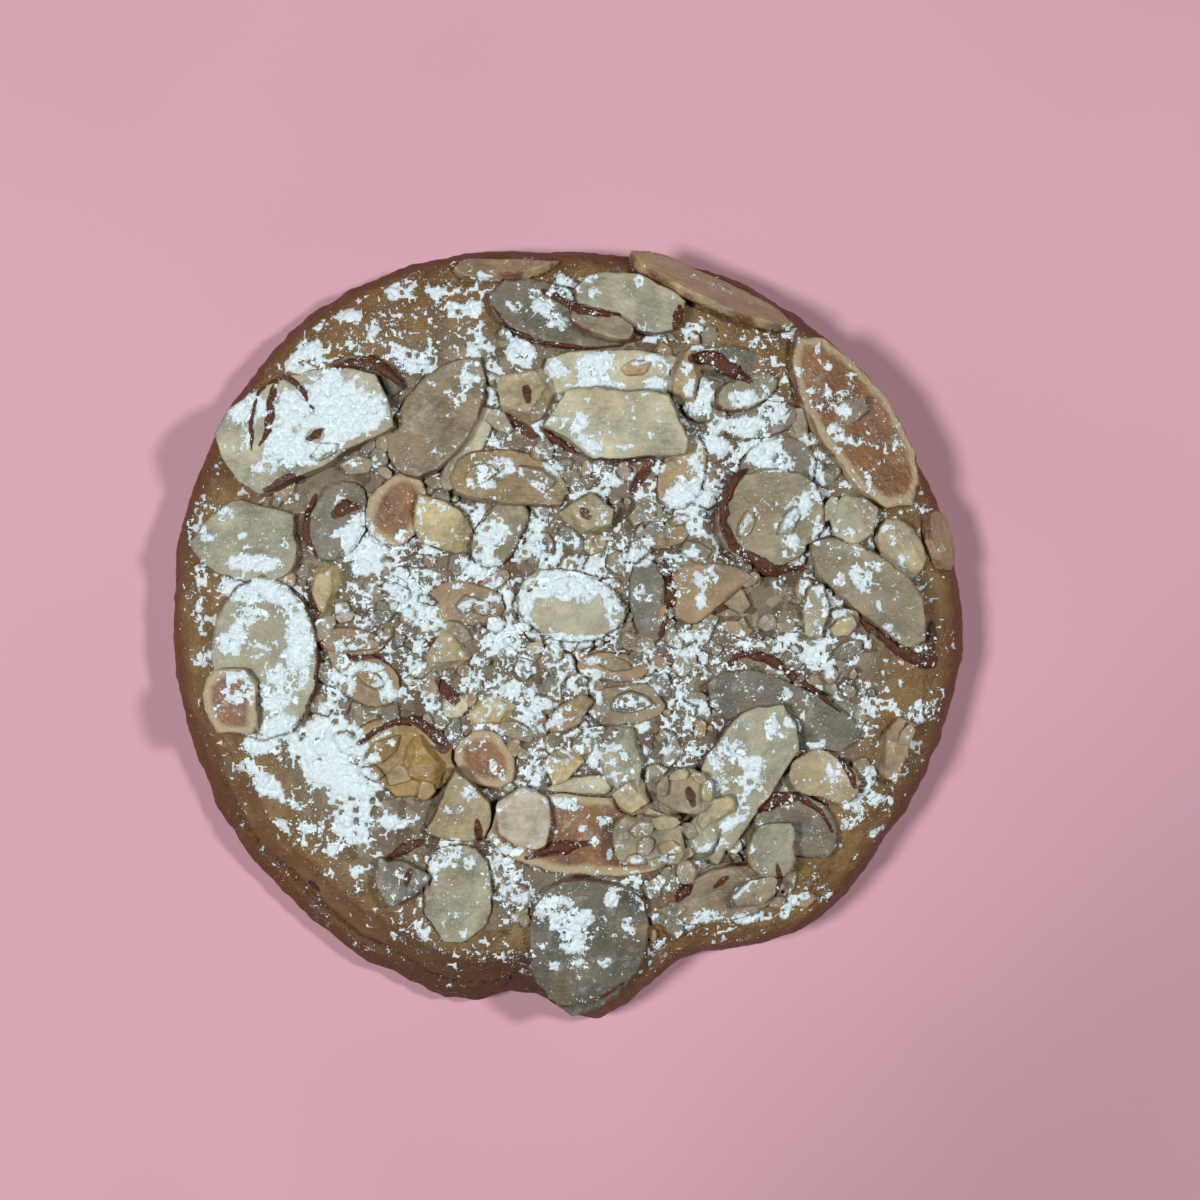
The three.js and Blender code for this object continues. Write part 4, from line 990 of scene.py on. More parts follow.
def closed_up(points, normals, share):
    """Raises the hollows that the almonds left in the crown, but not through the almonds."""
    steps = np.linspace(0, 0.92, 24)
    faces_up = normals[:, 2] > 0.6
    near = [faces_up & (np.abs(share - step) < 0.04) for step in steps]
    crown = np.interp(share, steps, [np.percentile(points[ring, 2], 75) for ring in near])
    for index in np.flatnonzero((normals[:, 2] > 0.1) & (points[:, 2] < crown) & (share < 0.9)):
        almond = dropped(almond_tree, points[index])[0]
        ceiling = almond.z - BELOW_ALMOND * MM if almond else crown[index]
        points[index, 2] = max(points[index, 2], min(crown[index], ceiling))


dough = piece_of("dough_crumb", merged_solid("dough"))
even_skin(dough, DOUGH_VOXEL, 2)
almond_tree = tree_of(almonds.values())
points = points_of(dough.data)
share = rim_share(points)
press_lumps(points)
closed_up(points, normals_of(dough.data), share)
slump = slumped(points, share)
move_points(dough.data, points)
print("the dough is", round(points[:, 2].max() / MM, 2), "mm high")

# %% Give the dough its relief
DOUGH_RELIEF = [(5.0, 0.26, 1), (2.2, 0.17, 2), (1.0, 0.13, 3)]  # size and depth in millimetres, seed
WALL_RELIEF = [(2.7, 0.10, 4), (0.9, 0.09, 5)]  # the same, on the wall alone
CREASE_SHARE = 0.945  # how far out the crease of the run-out lip lies
CREASE_DEPTH = 0.5  # and how deep it is, in millimetres
HEART_SINK = 0.1  # how far the dough settled between the almonds, in millimetres
SWELL = 0.1  # millimetres that all of it moves out, for what rounding took off

normals = normals_of(dough.data)
relief = layered(points / MM, DOUGH_RELIEF)
relief += ramp(share, 0.93, 0.99) * layered(points / MM, WALL_RELIEF)
crease = np.abs(share - CREASE_SHARE + 0.008 * lumps(points / MM, 6.0, 6))
relief -= CREASE_DEPTH * slump * (1 - ramp(crease, 0.0, 0.012))
relief -= HEART_SINK * (1 - ramp(share, 0.74, 0.88))
off_ground = ramp(points[:, 2] / MM, 0.1, 1.2)
points += normals * (off_ground * (relief + SWELL) * MM)[:, None]
move_points(dough.data, points)
plan = in_plan(points)
paint(dough.data, "rim", share)
paint(dough.data, "slump", slump)
bearing = bearings_of(points)
# The outer crown from the south-west round to the south is marked, to be painted a darker brown.
paint(dough.data, "darker_south_west", ramp(bearing, 225, 258) * (1 - ramp(bearing, 268, 276)) * ramp(share, 0.8, 0.9))
paint(dough.data, "skin", np.where(normals[:, 2] > 0.2, skin_and_shade_depth(plan), NO_SKIN))
paint(dough.data, "dusting", dusted(plan, normals[:, 2], ROUGH_HOLD))
finish_piece(dough, "dough", "dough")

# %% [markdown]
# ## Chopped almonds
# Each chopped piece is a block with flat cuts through it, as a knife leaves a nut: a slanting one for its top
# and steep ones round its sides. The cuts are bisections by planes whose directions are drawn at random from
# a fixed seed. The open cuts are filled, each piece is drawn out, turned and set down, and then its skin is
# roughened. The thin ones are plates: a circle of few corners, each moved in or out, that is extruded to its
# thickness, with its edges broken a little.

# %% Cut the shapes
CUTS = 5
CUT_NEAR = 1e-5  # a point this near a cut, in shares of a block's radius, lies on it


def cut_nut(seed, cuts):
    """A block of about unit radius with a slanting cut for its top and steep cuts round its sides."""
    chance = random.Random(seed)
    bm = bmesh.new()
    bmesh.ops.create_cube(bm, size=2)
    planes = [(Vector((chance.uniform(-0.4, 0.4), chance.uniform(-0.4, 0.4), 1)), chance.uniform(0.5, 0.8))]
    for cut in range(cuts):
        turn = math.tau * (cut + chance.uniform(0, 0.9)) / cuts
        slant = chance.uniform(-0.1, 0.6)
        planes.append((Vector((math.cos(turn), math.sin(turn), slant)), chance.uniform(0.6, 0.9)))
    for facing, distance in planes:
        facing.normalize()
        cut_off(bm, facing * distance, facing, CUT_NEAR)
    return bm


def shard(chance):
    """A plate with a few corners, of unit radius and unit thickness."""
    bm = bmesh.new()
    corners = bmesh.ops.create_circle(bm, cap_ends=True, segments=chance.randint(5, 8), radius=1)["verts"]
    for corner in corners:
        bmesh.ops.scale(bm, verts=[corner], vec=Vector((1, 1, 1)) * chance.uniform(0.75, 1.15))
    raised = bmesh.ops.extrude_face_region(bm, geom=bm.faces[:])["geom"]
    lifted = [item for item in raised if isinstance(item, bmesh.types.BMVert)]
    bmesh.ops.translate(bm, verts=lifted, vec=(0, 0, 1))
    bmesh.ops.recalc_face_normals(bm, faces=bm.faces)
    bmesh.ops.bevel(bm, geom=bm.edges[:], offset=0.09, affect="EDGES", segments=1, profile=0.5, material=-1)
    return bm


def set_down(bm, place, sizes, turn, height):
    """Draws a shape of unit radius out to its sizes, turns it and puts it at a height over a place."""
    bmesh.ops.scale(bm, verts=bm.verts, vec=Vector(sizes) * (MM / 2))
    bmesh.ops.rotate(bm, verts=bm.verts, matrix=Matrix.Rotation(math.radians(turn), 3, "Z"))
    bmesh.ops.translate(bm, verts=bm.verts, vec=on_ground(place) + Vector((0, 0, height)))


def paint_nut(mesh, tint, hold):
    """Keeps a chopped piece's tint, the sugar on it, and its skin and painted gap shade, for each of its
    points.
    """
    plan = in_plan(points_of(mesh))
    paint_tint(mesh, tint)
    paint(mesh, "dusting", dusted(plan, normals_of(mesh)[:, 2], hold))
    paint(mesh, "skin", skin_and_shade_depth(plan))


print(CUTS, "cuts round each block")

# %% Place the chopped pieces
NUT_CELL = 0.25 * MM
NUT_ROUGHNESS = [(1.6, 0.09, 0), (0.7, 0.08, 1)]  # size and depth in millimetres, seed
NUT_SEED = 40  # where the seeds of the cut blocks start
THIN_RISE = 1.3  # millimetres; a piece that rises no more is a thin plate
CHOPPED_SINK = 0.8  # millimetres that a piece goes down below its lump
CHOPPED_SPREAD = 1.2  # a block is made wider by this, because its cuts take some of it away
CHOPPED_EXTRA = 0.7  # and thicker by this, in millimetres

chopped = []
for seed, (east, north, long, wide, rise, turn, tint) in enumerate(CHOPPED):
    nut = shard(random.Random(seed)) if rise <= THIN_RISE else cut_nut(seed + NUT_SEED, CUTS)
    height = lump_tops[east, north] - (rise + CHOPPED_SINK) / 2 * MM
    sizes = (long * CHOPPED_SPREAD, wide * CHOPPED_SPREAD, rise + CHOPPED_SINK + CHOPPED_EXTRA)
    set_down(nut, (east, north), sizes, turn, height)
    piece = piece_of("nut", nut)
    crisp_skin(piece, NUT_CELL)
    points = points_of(piece.data)
    rough = layered(points / MM, NUT_ROUGHNESS, seed)
    move_points(piece.data, points + normals_of(piece.data) * (rough * MM)[:, None])
    paint_nut(piece.data, tint, CHOPPED_HOLD)
    chopped.append(piece)
chopped_nuts = joined("chopped_almonds", chopped)
finish_piece(chopped_nuts, "almond_yellow", "dough")

# %% [markdown]
# ## Shards of almond
# Between the slices the crown is full of broken bits, thin and angular. The larger ones are listed with their
# place, length, width, bearing and tint. The smallest are strewn at random on the dough, wherever no slice
# lies, but not on the bare stretches of crust. They are plates like the thin chopped pieces.

# %% Scatter the shards
PLACED_SHARDS = [
    (-7.6, 23.4, 3.8, 2.2, -50, "olive ivory"), (7.6, 29.2, 3.8, 2.2, 10, "cream tan"),
    (16.0, 33.2, 3.2, 2.0, 80, "glassy"), (26.2, 22.4, 4.0, 1.6, -55, "wheat"),
    (31.8, 24.6, 5.0, 3.4, 25, "taupe"), (-16.0, -4.2, 3.2, 2.2, 30, "wheat"),
    (-15.0, -6.2, 2.8, 2.0, 70, "cream tan"), (-25.2, -8.4, 2.2, 2.0, 0, "glassy"),
    (3.2, 9.6, 3.0, 2.2, 20, "cream tan"), (-4.4, 8.8, 2.2, 1.6, 40, "cream"),
    (9.8, 10.2, 4.2, 1.6, -6, "biscuit"), (-3.4, -1.7, 2.4, 1.6, 20, "cream"),
    (8.6, -1.8, 2.2, 1.6, 30, "ivory"), (-12.4, -8.4, 3.0, 2.8, 60, "ivory"),
    (-5.6, -10.9, 4.6, 2.2, -15, "wheat"), (-3.0, -7.6, 4.4, 2.8, 20, "glassy"),
    (31.2, -2.0, 3.6, 2.2, 30, "glassy"), (38.0, -11.4, 3.0, 1.8, 60, "taupe"),
    (32.8, -15.0, 3.0, 2.4, 45, "taupe"), (10.2, -32.0, 2.2, 1.8, 0, "glassy"),
    (24.8, -27.8, 2.8, 1.8, 70, "taupe"), (23.6, -30.2, 2.8, 1.6, 15, "taupe"),
    (27.2, -30.2, 2.4, 1.4, 30, "biscuit"), (-8.2, 5.6, 3.4, 2.0, 30, "biscuit"),
    (-12.0, 8.0, 3.0, 2.2, 50, "glassy"), (-18.6, 4.8, 4.0, 2.4, -20, "glassy"),
    (-20.8, 2.0, 3.6, 2.2, 10, "glassy"), (-24.6, 1.6, 2.6, 1.2, 10, "rosy ivory"),
    (-10.0, -6.2, 2.6, 1.6, 60, "olive ivory"), (10.8, -12.6, 4.0, 1.4, 35, "glassy"),
    (12.6, 12.6, 3.2, 1.4, 20, "biscuit"), (20.4, 5.8, 2.6, 1.8, 40, "taupe"),
    (-26.6, 20.0, 4.6, 2.0, 25, "wheat"), (-23.2, 18.6, 3.8, 2.4, 10, "wheat"),
    (29.4, 13.6, 3.2, 1.6, 60, "olive ivory"), (5.0, -11.6, 2.6, 1.6, 10, "taupe"),
    (-3.4, 17.2, 5.0, 2.6, -20, "taupe"), (-9.6, 17.6, 4.6, 2.4, 25, "cream tan"),
    (-22.6, -1.4, 4.2, 1.8, 5, "taupe"), (-21.6, -5.4, 3.6, 1.6, -30, "cream tan"),
    (5.4, -3.6, 4.0, 1.6, -8, "wheat"), (7.0, -7.6, 5.0, 2.6, -4, "glassy"),
    (-11.0, 3.4, 3.6, 2.2, 20, "wheat"), (-9.4, 2.6, 2.6, 1.8, -40, "cream tan"),
    (19.8, 12.0, 3.6, 1.6, 70, "cream"), (24.6, 12.6, 4.0, 2.2, 60, "olive ivory"),
    (8.4, -21.4, 3.0, 2.0, 15, "cream"), (11.0, -21.0, 3.4, 1.6, 5, "cream"),
    (13.4, -22.0, 2.6, 1.8, -40, "wheat"), (9.0, -23.6, 2.8, 1.8, 70, "wheat"),
    (11.6, -23.8, 3.2, 1.6, -10, "cream tan"), (13.2, -24.6, 2.2, 1.4, 30, "cream"),
    (7.6, -24.8, 2.0, 1.4, 0, "cream tan"), (10.2, -25.3, 2.6, 1.2, 10, "wheat"),
    (15.6, -17.6, 2.6, 1.3, 90, "cream"), (14.8, -16.0, 2.4, 1.2, 140, "cream"),
    (-20.4, -13.0, 5.0, 2.6, 35, "gold"), (-18.4, -16.0, 4.2, 2.4, 10, "cream tan"),
    (-15.4, -17.4, 3.2, 2.0, 70, "gold"), (-21.4, -15.6, 3.0, 2.0, -20, "gold"),
    (12.5, -15.7, 2.8, 1.3, 18, "cream"), (10.9, -17.2, 2.6, 1.4, 72, "wheat"),
    (11.5, -19.5, 2.4, 1.2, -35, "cream"), (14.2, -20.3, 2.6, 1.2, 14, "cream tan"),
]
STREWN_SHARDS = 230
STREWN_TINTS = ["glassy", "glassy", "taupe", "taupe", "wheat", "biscuit"]
STREWN_REACH = 36  # millimetres from the middle
STREWN_SEED = 7
SHARD_TIP = 22  # degrees that a shard tips at most
SHARD_SINK = 0.35  # millimetres of its thickness that are sunk in
SHARD_SIZE = 1.8  # twice its thickness, in millimetres, because its shape is one high and two wide


def lay_shard(chance, place, long, wide, turn, tint, ground):
    """A shard on the ground at a place, tipped a little and partly sunk in."""
    bit = shard(chance)
    tip = Matrix.Rotation(math.radians(chance.uniform(-SHARD_TIP, SHARD_TIP)), 3, "X")
    bmesh.ops.rotate(bit, verts=bit.verts, matrix=tip)
    height = top_of(ground, place).z - SHARD_SINK * MM
    set_down(bit, place, (long, wide, SHARD_SIZE), turn, height)
    piece = piece_of("shard", bit)
    paint_nut(piece.data, tint, ROUGH_HOLD)
    return piece


chance = random.Random(STREWN_SEED)
dough_tree = tree_of([dough])
nut_tree = tree_of([*almonds.values(), chopped_nuts])
so_far = tree_of([dough, *almonds.values(), chopped_nuts])
shards = [lay_shard(chance, row[:2], *row[2:], so_far) for row in PLACED_SHARDS]
while len(shards) < len(PLACED_SHARDS) + STREWN_SHARDS:
    radius = STREWN_REACH * math.sqrt(chance.random())
    bearing = chance.uniform(0, math.tau)
    place = (radius * math.cos(bearing), radius * math.sin(bearing))
    bare_north_west = place[1] > 29 and place[0] < -8
    bare_south_west = place[0] + place[1] < -38
    if top_of(nut_tree, place) or bare_north_west or bare_south_west:
        continue
    width = chance.uniform(0.7, 2.6)
    long = width * chance.uniform(1.0, 1.8)
    tint = chance.choice(STREWN_TINTS)
    shards.append(lay_shard(chance, place, long, width, chance.uniform(0, 360), tint, dough_tree))
almond_shards = joined("almond_shards", shards)
finish_piece(almond_shards, "almond_tan", "dough")

# %% [markdown]
# ## Ridges of skin
# A strip of skin stands up a little along its slice's edge and shines. Each line with a ridge becomes a
# narrow grid, bent along the line and arched across it, with both its long sides turned down into what it
# lies on. Its height follows the highest thing under it, smoothed so that it runs like a leathery strip.

# %% Lay the skins
RIDGE_STEP = 0.2  # millimetres between two rows of points
RIDGE_BREADTH = 0.95  # the share of a line's width that stands up
RIDGE_HEIGHT = 0.4  # the share of its listed height that it rises
RIDGE_ARCH = [(-1.0, 0.0, -1.2), (-1.0, 0.0, -0.06), (-0.7, 0.8, 0.0), (0.0, 1.0, 0.0),
              (0.7, 0.8, 0.0), (1.0, 0.0, -0.06), (1.0, 0.0, -1.2)]  # across, share of the rise, drop
RIDGE_SIDES = (0, 50)  # the seeds of its two ragged sides
SKIN_DUSTING = 0.3  # how much sugar lies on a strip
SMOOTHING = np.array([1, 2, 3, 2, 1]) / 9


def smoothed(values):
    """A row of numbers with its corners taken off."""
    return np.convolve(np.pad(values, 2, mode="edge"), SMOOTHING, mode="valid")


def along_line(line):
    """Evenly spaced places on a line in plan: how far along each is, the place, and the way to its left."""
    corners = np.array(line)
    lengths = np.concatenate([[0], np.cumsum(np.linalg.norm(np.diff(corners, axis=0), axis=1))])
    steps = max(6, int(lengths[-1] / RIDGE_STEP))
    at = np.linspace(0, lengths[-1], steps + 1)
    places = np.stack([smoothed(np.interp(at, lengths, corners[:, axis])) for axis in (0, 1)], axis=1)
    along = np.gradient(places, axis=0)
    along /= np.linalg.norm(along, axis=1)[:, None]
    return at, places, np.stack([-along[:, 1], along[:, 0]], axis=1)


def ridge(widths, rise, line, seed):
    """A strip of skin along a line in plan."""
    at, middles, side = along_line(line)
    share = at / at[-1]
    taper = np.sqrt(np.clip(1 - np.abs(2 * share - 1) ** 6, 0.04, 1))
    half = RIDGE_BREADTH * np.interp(share, (0, 0.5, 1), widths) / 2 * taper
    distance = at[:, None]
    ragged = [1 + 0.35 * lumps(distance, 1.2, seed + own) + 0.3 * lumps(distance, 0.5, seed + own)
              for own in RIDGE_SIDES]
    heights = [[top_of(so_far, place + side_step * half[row] * side[row]).z
                for side_step in (-0.5, 0, 0.5)] for row, place in enumerate(middles)]
    base = smoothed(smoothed(np.max(heights, axis=1) / MM))
    wrinkle = 0.03 * lumps(distance, 0.7, seed + 1)
    bm = bmesh.new()
    steps = len(at) - 1
    breadth = len(RIDGE_ARCH) - 1
    bmesh.ops.create_grid(bm, x_segments=steps, y_segments=breadth, size=1)
    for vert in bm.verts:
        row = round((vert.co.x + 1) / 2 * steps)
        across, lift, drop = RIDGE_ARCH[round((vert.co.y + 1) / 2 * breadth)]
        place = middles[row] + across * half[row] * ragged[across > 0][row] * side[row]
        height = base[row] + lift * (RIDGE_HEIGHT * rise + wrinkle[row]) * taper[row] + drop
        vert.co = on_ground(place) + Vector((0, 0, height * MM))
    strip = piece_of("skin", bm)
    strip.data.shade_smooth()
    paint(strip.data, "dusting", np.full(len(strip.data.vertices), SKIN_DUSTING))
    return strip


ridges = [ridge(widths, rise, line, seed) for seed, (widths, rise, line) in enumerate(SKIN_AND_SHADE_LINES) if rise]
skins = joined("almond_skins", ridges)
finish_piece(skins, "almond_skin", "dough")

# %% [markdown]
# ## Powdered sugar
# The drifts are a real layer: a fine grid is dropped on everything that has been made so far, and lifted by
# as much sugar as lies there. Crumbly noise breaks its edges, and brown skins stick out of it. The thin
# dusting holds best on rough dough, less on chopped pieces and least on smooth slices. Beside a slice the
# sugar banks up, so the ground under it is first widened by slopes of a fixed steepness, and these run out as
# gently where the sugar ends. Faces where no sugar lies are taken out, and so are steep ones, because it
# slides off a slice's side. The last points of a drift lie below the ground, which hides its edges.

# %% Measure the ground under the sugar
SUGAR_STEP = 0.125  # millimetres between the grid's points
SUGAR_REACH = 45.0  # millimetres from the middle to the grid's edge
SUGAR_COLUMNS = int(2 * SUGAR_REACH / SUGAR_STEP)
BANK_SLOPE = 1.4  # the fall of a bank over its run
BANK_STEPS = 12  # grid steps from a bank's top to its foot, at most

holds = {dough: ROUGH_HOLD, almond_shards: ROUGH_HOLD, chopped_nuts: CHOPPED_HOLD}
holds.update({flakes: SMOOTH_HOLD for flakes in almonds.values()})
everything = tree_of(holds)
face_holds = np.concatenate([np.full(len(piece.data.polygons), hold) for piece, hold in holds.items()])


def ground_under(points, wanted):
    """The height of what lies under each wanted point, or -1, how far that faces up and how well it holds."""
    ground = np.full(len(points), -1.0)
    upward = np.zeros(len(points))
    hold = np.zeros(len(points))
    for index in np.flatnonzero(wanted):
        hit, facing, face, _ = dropped(everything, points[index])
        if hit:
            ground[index] = hit.z
            upward[index] = facing.z
            hold[index] = face_holds[face]
    return ground, upward, hold


def banked_up(ground):
    """The ground with a slope piled against each step in it."""
    heights = ground.reshape(-1, SUGAR_COLUMNS + 1)
    for _ in range(BANK_STEPS):
        for axis in (0, 1):
            for shift in (1, -1):
                heights = np.maximum(heights, np.roll(heights, shift, axis) - BANK_SLOPE * SUGAR_STEP * MM)
    return heights.ravel()


print("a grid of", SUGAR_COLUMNS, "columns over", len(face_holds), "faces")

# %% Lay the sugar
SUGAR_FULL = 0.55  # millimetres where it lies thickest
SUGAR_RISE = 0.6  # millimetres that it rises when its level rises by one
SUGAR_CRUMBLE = [(2.2, 0.2, 11), (1.0, 0.34, 12), (0.5, 0.42, 13), (0.27, 0.36, 14)]  # size, weight, seed
SUGAR_NEEDED = 0.64  # how closely a place must be covered for sugar to close there
SKIN_SHEDS = 0.7  # how much more a skin needs
MAY_HOLD = -0.5  # the ground is looked up only where the level, at best, is above this
BARELY = -0.12  # the level at which the last points of a drift lie
STEEPEST = 0.75  # millimetres; sugar slides off a face that drops further than this
TUCK = 0.45  # millimetres by which a drift's last points go down, as far as the ground
SKY = 1.0  # metres; higher than anything here


def laid_faces(heights, keep):
    """Which faces of a grid of points hold sugar, and how many could at each point; lone faces fall out."""
    corners = [(slice(0, -1), slice(0, -1)), (slice(1, None), slice(0, -1)),
               (slice(0, -1), slice(1, None)), (slice(1, None), slice(1, None))]
    drop = np.ptp([heights[corner] for corner in corners], axis=0)
    laid = np.all([keep[corner] for corner in corners], axis=0) & (drop < STEEPEST * MM)
    around = np.zeros(heights.shape, dtype=int)
    for corner in corners:
        around[corner] += laid
    laid &= np.any([around[corner] == 4 for corner in corners], axis=0)
    return laid, around


def sugar_grid(northward):
    """A fine, level grid over one half of the cookie."""
    bm = bmesh.new()
    bmesh.ops.create_grid(bm, x_segments=SUGAR_COLUMNS, y_segments=SUGAR_COLUMNS // 2, size=SUGAR_REACH * MM)
    bmesh.ops.scale(bm, verts=bm.verts, vec=(1, 0.5, 1))
    bmesh.ops.translate(bm, verts=bm.verts, vec=(0, northward * SUGAR_REACH / 2 * MM, 0))
    return bm


def laid_sugar(points):
    """The heights of a grid's points once sugar lies on it, and which of its faces hold sugar."""
    plan = in_plan(points)
    crumbs = layered(plan, SUGAR_CRUMBLE)
    crumbs -= SUGAR_NEEDED + SKIN_SHEDS * ramp(skin_and_shade_depth(plan), -0.1, 0.25)
    ground, upward, hold = ground_under(points, sugar_cover(plan, ROUGH_HOLD) + crumbs > MAY_HOLD)
    level = dusted(plan, upward, hold) + crumbs
    keep = (level > BARELY) & (ground > 0)
    runs_out = -banked_up(-np.where(keep, SKY, ground))
    banked = np.maximum(ground, np.minimum(banked_up(ground), runs_out))
    heights = banked + np.clip(SUGAR_RISE * level, BARELY, SUGAR_FULL) * MM
    rows = (-1, SUGAR_COLUMNS + 1)
    laid, around = laid_faces(heights.reshape(rows), keep.reshape(rows))
    tucked = np.maximum(ground + BARELY * MM, heights - TUCK * MM)
    return np.where(around.ravel() < 4, tucked, heights), laid


def sugar_half(name, northward):
    """The sugar on one half of the cookie."""
    bm = sugar_grid(northward)
    heights, laid = laid_sugar(np.array([vert.co[:] for vert in bm.verts]))
    for vert, height in zip(bm.verts, heights):
        vert.co.z = height
    unwanted = []
    for face in bm.faces:
        row, column = divmod(min(vert.index for vert in face.verts), SUGAR_COLUMNS + 1)
        if not laid[row, column]:
            unwanted.append(face)
    bmesh.ops.delete(bm, geom=unwanted, context="FACES")
    half = piece_of(name, bm)
    half.data.shade_smooth()
    finish_piece(half, "sugar", "dough")
    return half


sugar = [sugar_half("sugar_north", 1), sugar_half("sugar_south", -1)]

# %% [markdown]
# ## The crust's colours
# Bare crown is a golden ochre with browner freckles, the wall is a deep even brown, and the foot is darkest.
# How far out a point lies picks the colour, with cloudy noise in the sum so that the change isn't a ring.
# Thin sugar is a scatter of specks with ragged edges, and the skins are a dark red-brown; in the gaps
# between slices the same colour is painted shade.

# %% What several finishes share
SUGAR_WHITE = (0.80, 0.915, 0.95)
SKIN_RED = (0.115, 0.030, 0.008)
SKIN_DARK = (0.042, 0.013, 0.006)


def with_skin_and_gap_shade(finish, colour):
    """Lays the brown skin over a colour, and the same colour as painted shade along the gaps between slices.
    """
    # Along the lines of height 0 in the gaps between slices, this dark red-brown is painted shade.
    inside = (finish.painted("skin") + 0.12 * (finish.mottle(0.5 * MM) - 0.5)).ramp(-0.04, 0.1)
    wrinkles = finish.mottle(0.9 * MM, 3).ramp(0.35, 0.65)
    return finish.mix(inside, colour, finish.mix(wrinkles, SKIN_RED, SKIN_DARK))


def dress(finish, colour, roughness, relief, depth):
    """Sets a finish's colour, roughness and relief, with specks of sugar over all three."""
    gathered = 0.4 * (finish.mottle(3.5 * MM, 2) - 0.5) + 0.17 * finish.painted("dusting")
    clumps = (finish.mottle(0.8 * MM, 5, roughness=0.72) + gathered).ramp(0.66, 0.68)
    grains = (finish.mottle(0.24 * MM, 2) + 0.6 * gathered).ramp(0.70, 0.74)
    specks = clumps.larger(grains)
    finish.set("Base Color", finish.mix(specks, colour, SUGAR_WHITE))
    finish.set("Roughness", roughness.larger(specks * 0.95))
    finish.bump(relief + specks * 1.2, depth)


print("sugar and skin can be laid over any finish")

# %% The dough's finish
CROWN_TONES = (0.166, 0.089, 0.029), (0.250, 0.156, 0.058)
HEART_TONES = (0.096, 0.061, 0.033), (0.178, 0.141, 0.090)
HEART_PALE = (0.280, 0.244, 0.168)
HEART_CLOUD = (0.168, 0.134, 0.086)
WALL_BROWN = (0.140, 0.050, 0.010)
LIP_BROWN = (0.125, 0.052, 0.013)
SOUTH_WEST_BROWN = (0.088, 0.039, 0.013)
FRECKLE_BROWN = (0.085, 0.038, 0.013)
FOOT_BROWN = (0.090, 0.031, 0.007)

crust = Finish("baked_crust")
rim = crust.painted("rim") + 0.04 * (crust.mottle(7 * MM, 3) - 0.5)
cloud = crust.mottle(4 * MM, 4)
freckle = crust.mottle(0.9 * MM, 2).ramp(0.55, 0.75)
crown = crust.mix(cloud.ramp(0.35, 0.7), *CROWN_TONES)
shade, from_middle = crust.crumbs(1.5 * MM)
heart = crust.mix(shade.ramp(0.1, 0.45), *HEART_TONES)
heart = crust.mix(shade.ramp(0.66, 0.95), heart, HEART_PALE)
heart = crust.mix(cloud.ramp(0.4, 0.7) * 0.5, heart, HEART_CLOUD)
colour = crust.mix(rim.ramp(0.72, 0.86), heart, crown)
colour = crust.mix(rim.ramp(0.94, 0.98), colour, WALL_BROWN)
slump_band = crust.painted("slump") * rim.ramp(0.925, 0.955)
colour = crust.mix(slump_band, colour, LIP_BROWN)
# The outer crown from the south-west to the south is painted a darker brown.
colour = crust.mix(crust.painted("darker_south_west") * 0.9, colour, SOUTH_WEST_BROWN)
colour = crust.mix(freckle * 0.55, colour, FRECKLE_BROWN)
foot = crust.coordinate("Z").ramp(4.5 * MM, 0.8 * MM)
colour = crust.mix(foot * 0.6, colour, FOOT_BROWN)
crumb = crust.mottle(0.8 * MM, 4) + 0.6 * crust.mottle(0.3 * MM, 2) - 0.6 * from_middle
dress(crust, with_skin_and_gap_shade(crust, colour), 0.42 + 0.3 * cloud, crumb, 0.3 * MM)
crust.set("Specular IOR Level", 0.4)
dough.data.materials.append(crust.material)
print("baked crust done")

# %% [markdown]
# ## Almond flesh
# Baked almond flesh is a little glassy where butter has soaked in, with faint streaks along the slice. Its
# steep cut sides are painted a paler cream: painted light, for the light that soaks through there. The
# toasted slices are orange-brown with a broad cream border, so the distance from the edge leads the mix
# there.

# %% The almonds' finishes
# The cream of a toasted slice's border; the steep sides of every slice are also painted in it, as painted
# light.
CREAM_BORDER_AND_PAINTED_SIDE_LIGHT = (0.42, 0.33, 0.20)
SUGAR_VEIL = (0.60, 0.61, 0.57)
TOASTED_BLUSH = (0.30, 0.185, 0.075)
BROWN_DOT = (0.22, 0.14, 0.06)


def flesh(name):
    """Flesh in the tint that each point keeps, and the shade of it from place to place."""
    finish = Finish(name)
    cloud = finish.mottle(4.0 * MM, 4, roughness=0.6)
    blush = finish.mottle(6 * MM, 2).ramp(0.52, 0.74)
    colour = finish.scaled(finish.painted("tint", "Color"), 0.05 + 1.64 * cloud)
    colour = finish.scaled(colour, 0.75 + 0.5 * finish.mottle(1.1 * MM, 4, roughness=0.7))
    veil = finish.mottle(1.7 * MM, 5, roughness=0.7).ramp(0.52, 0.7)
    colour = finish.mix(veil * 0.3, colour, SUGAR_VEIL)
    colour = finish.mix(blush * 0.3, colour, TOASTED_BLUSH)
    colour = finish.mix(finish.mottle(0.5 * MM, 2).ramp(0.66, 0.74) * 0.35, colour, BROWN_DOT)
    finish.set("Specular IOR Level", 0.42)
    finish.scatter(0.35, 0.9 * MM)
    return finish, colour, cloud


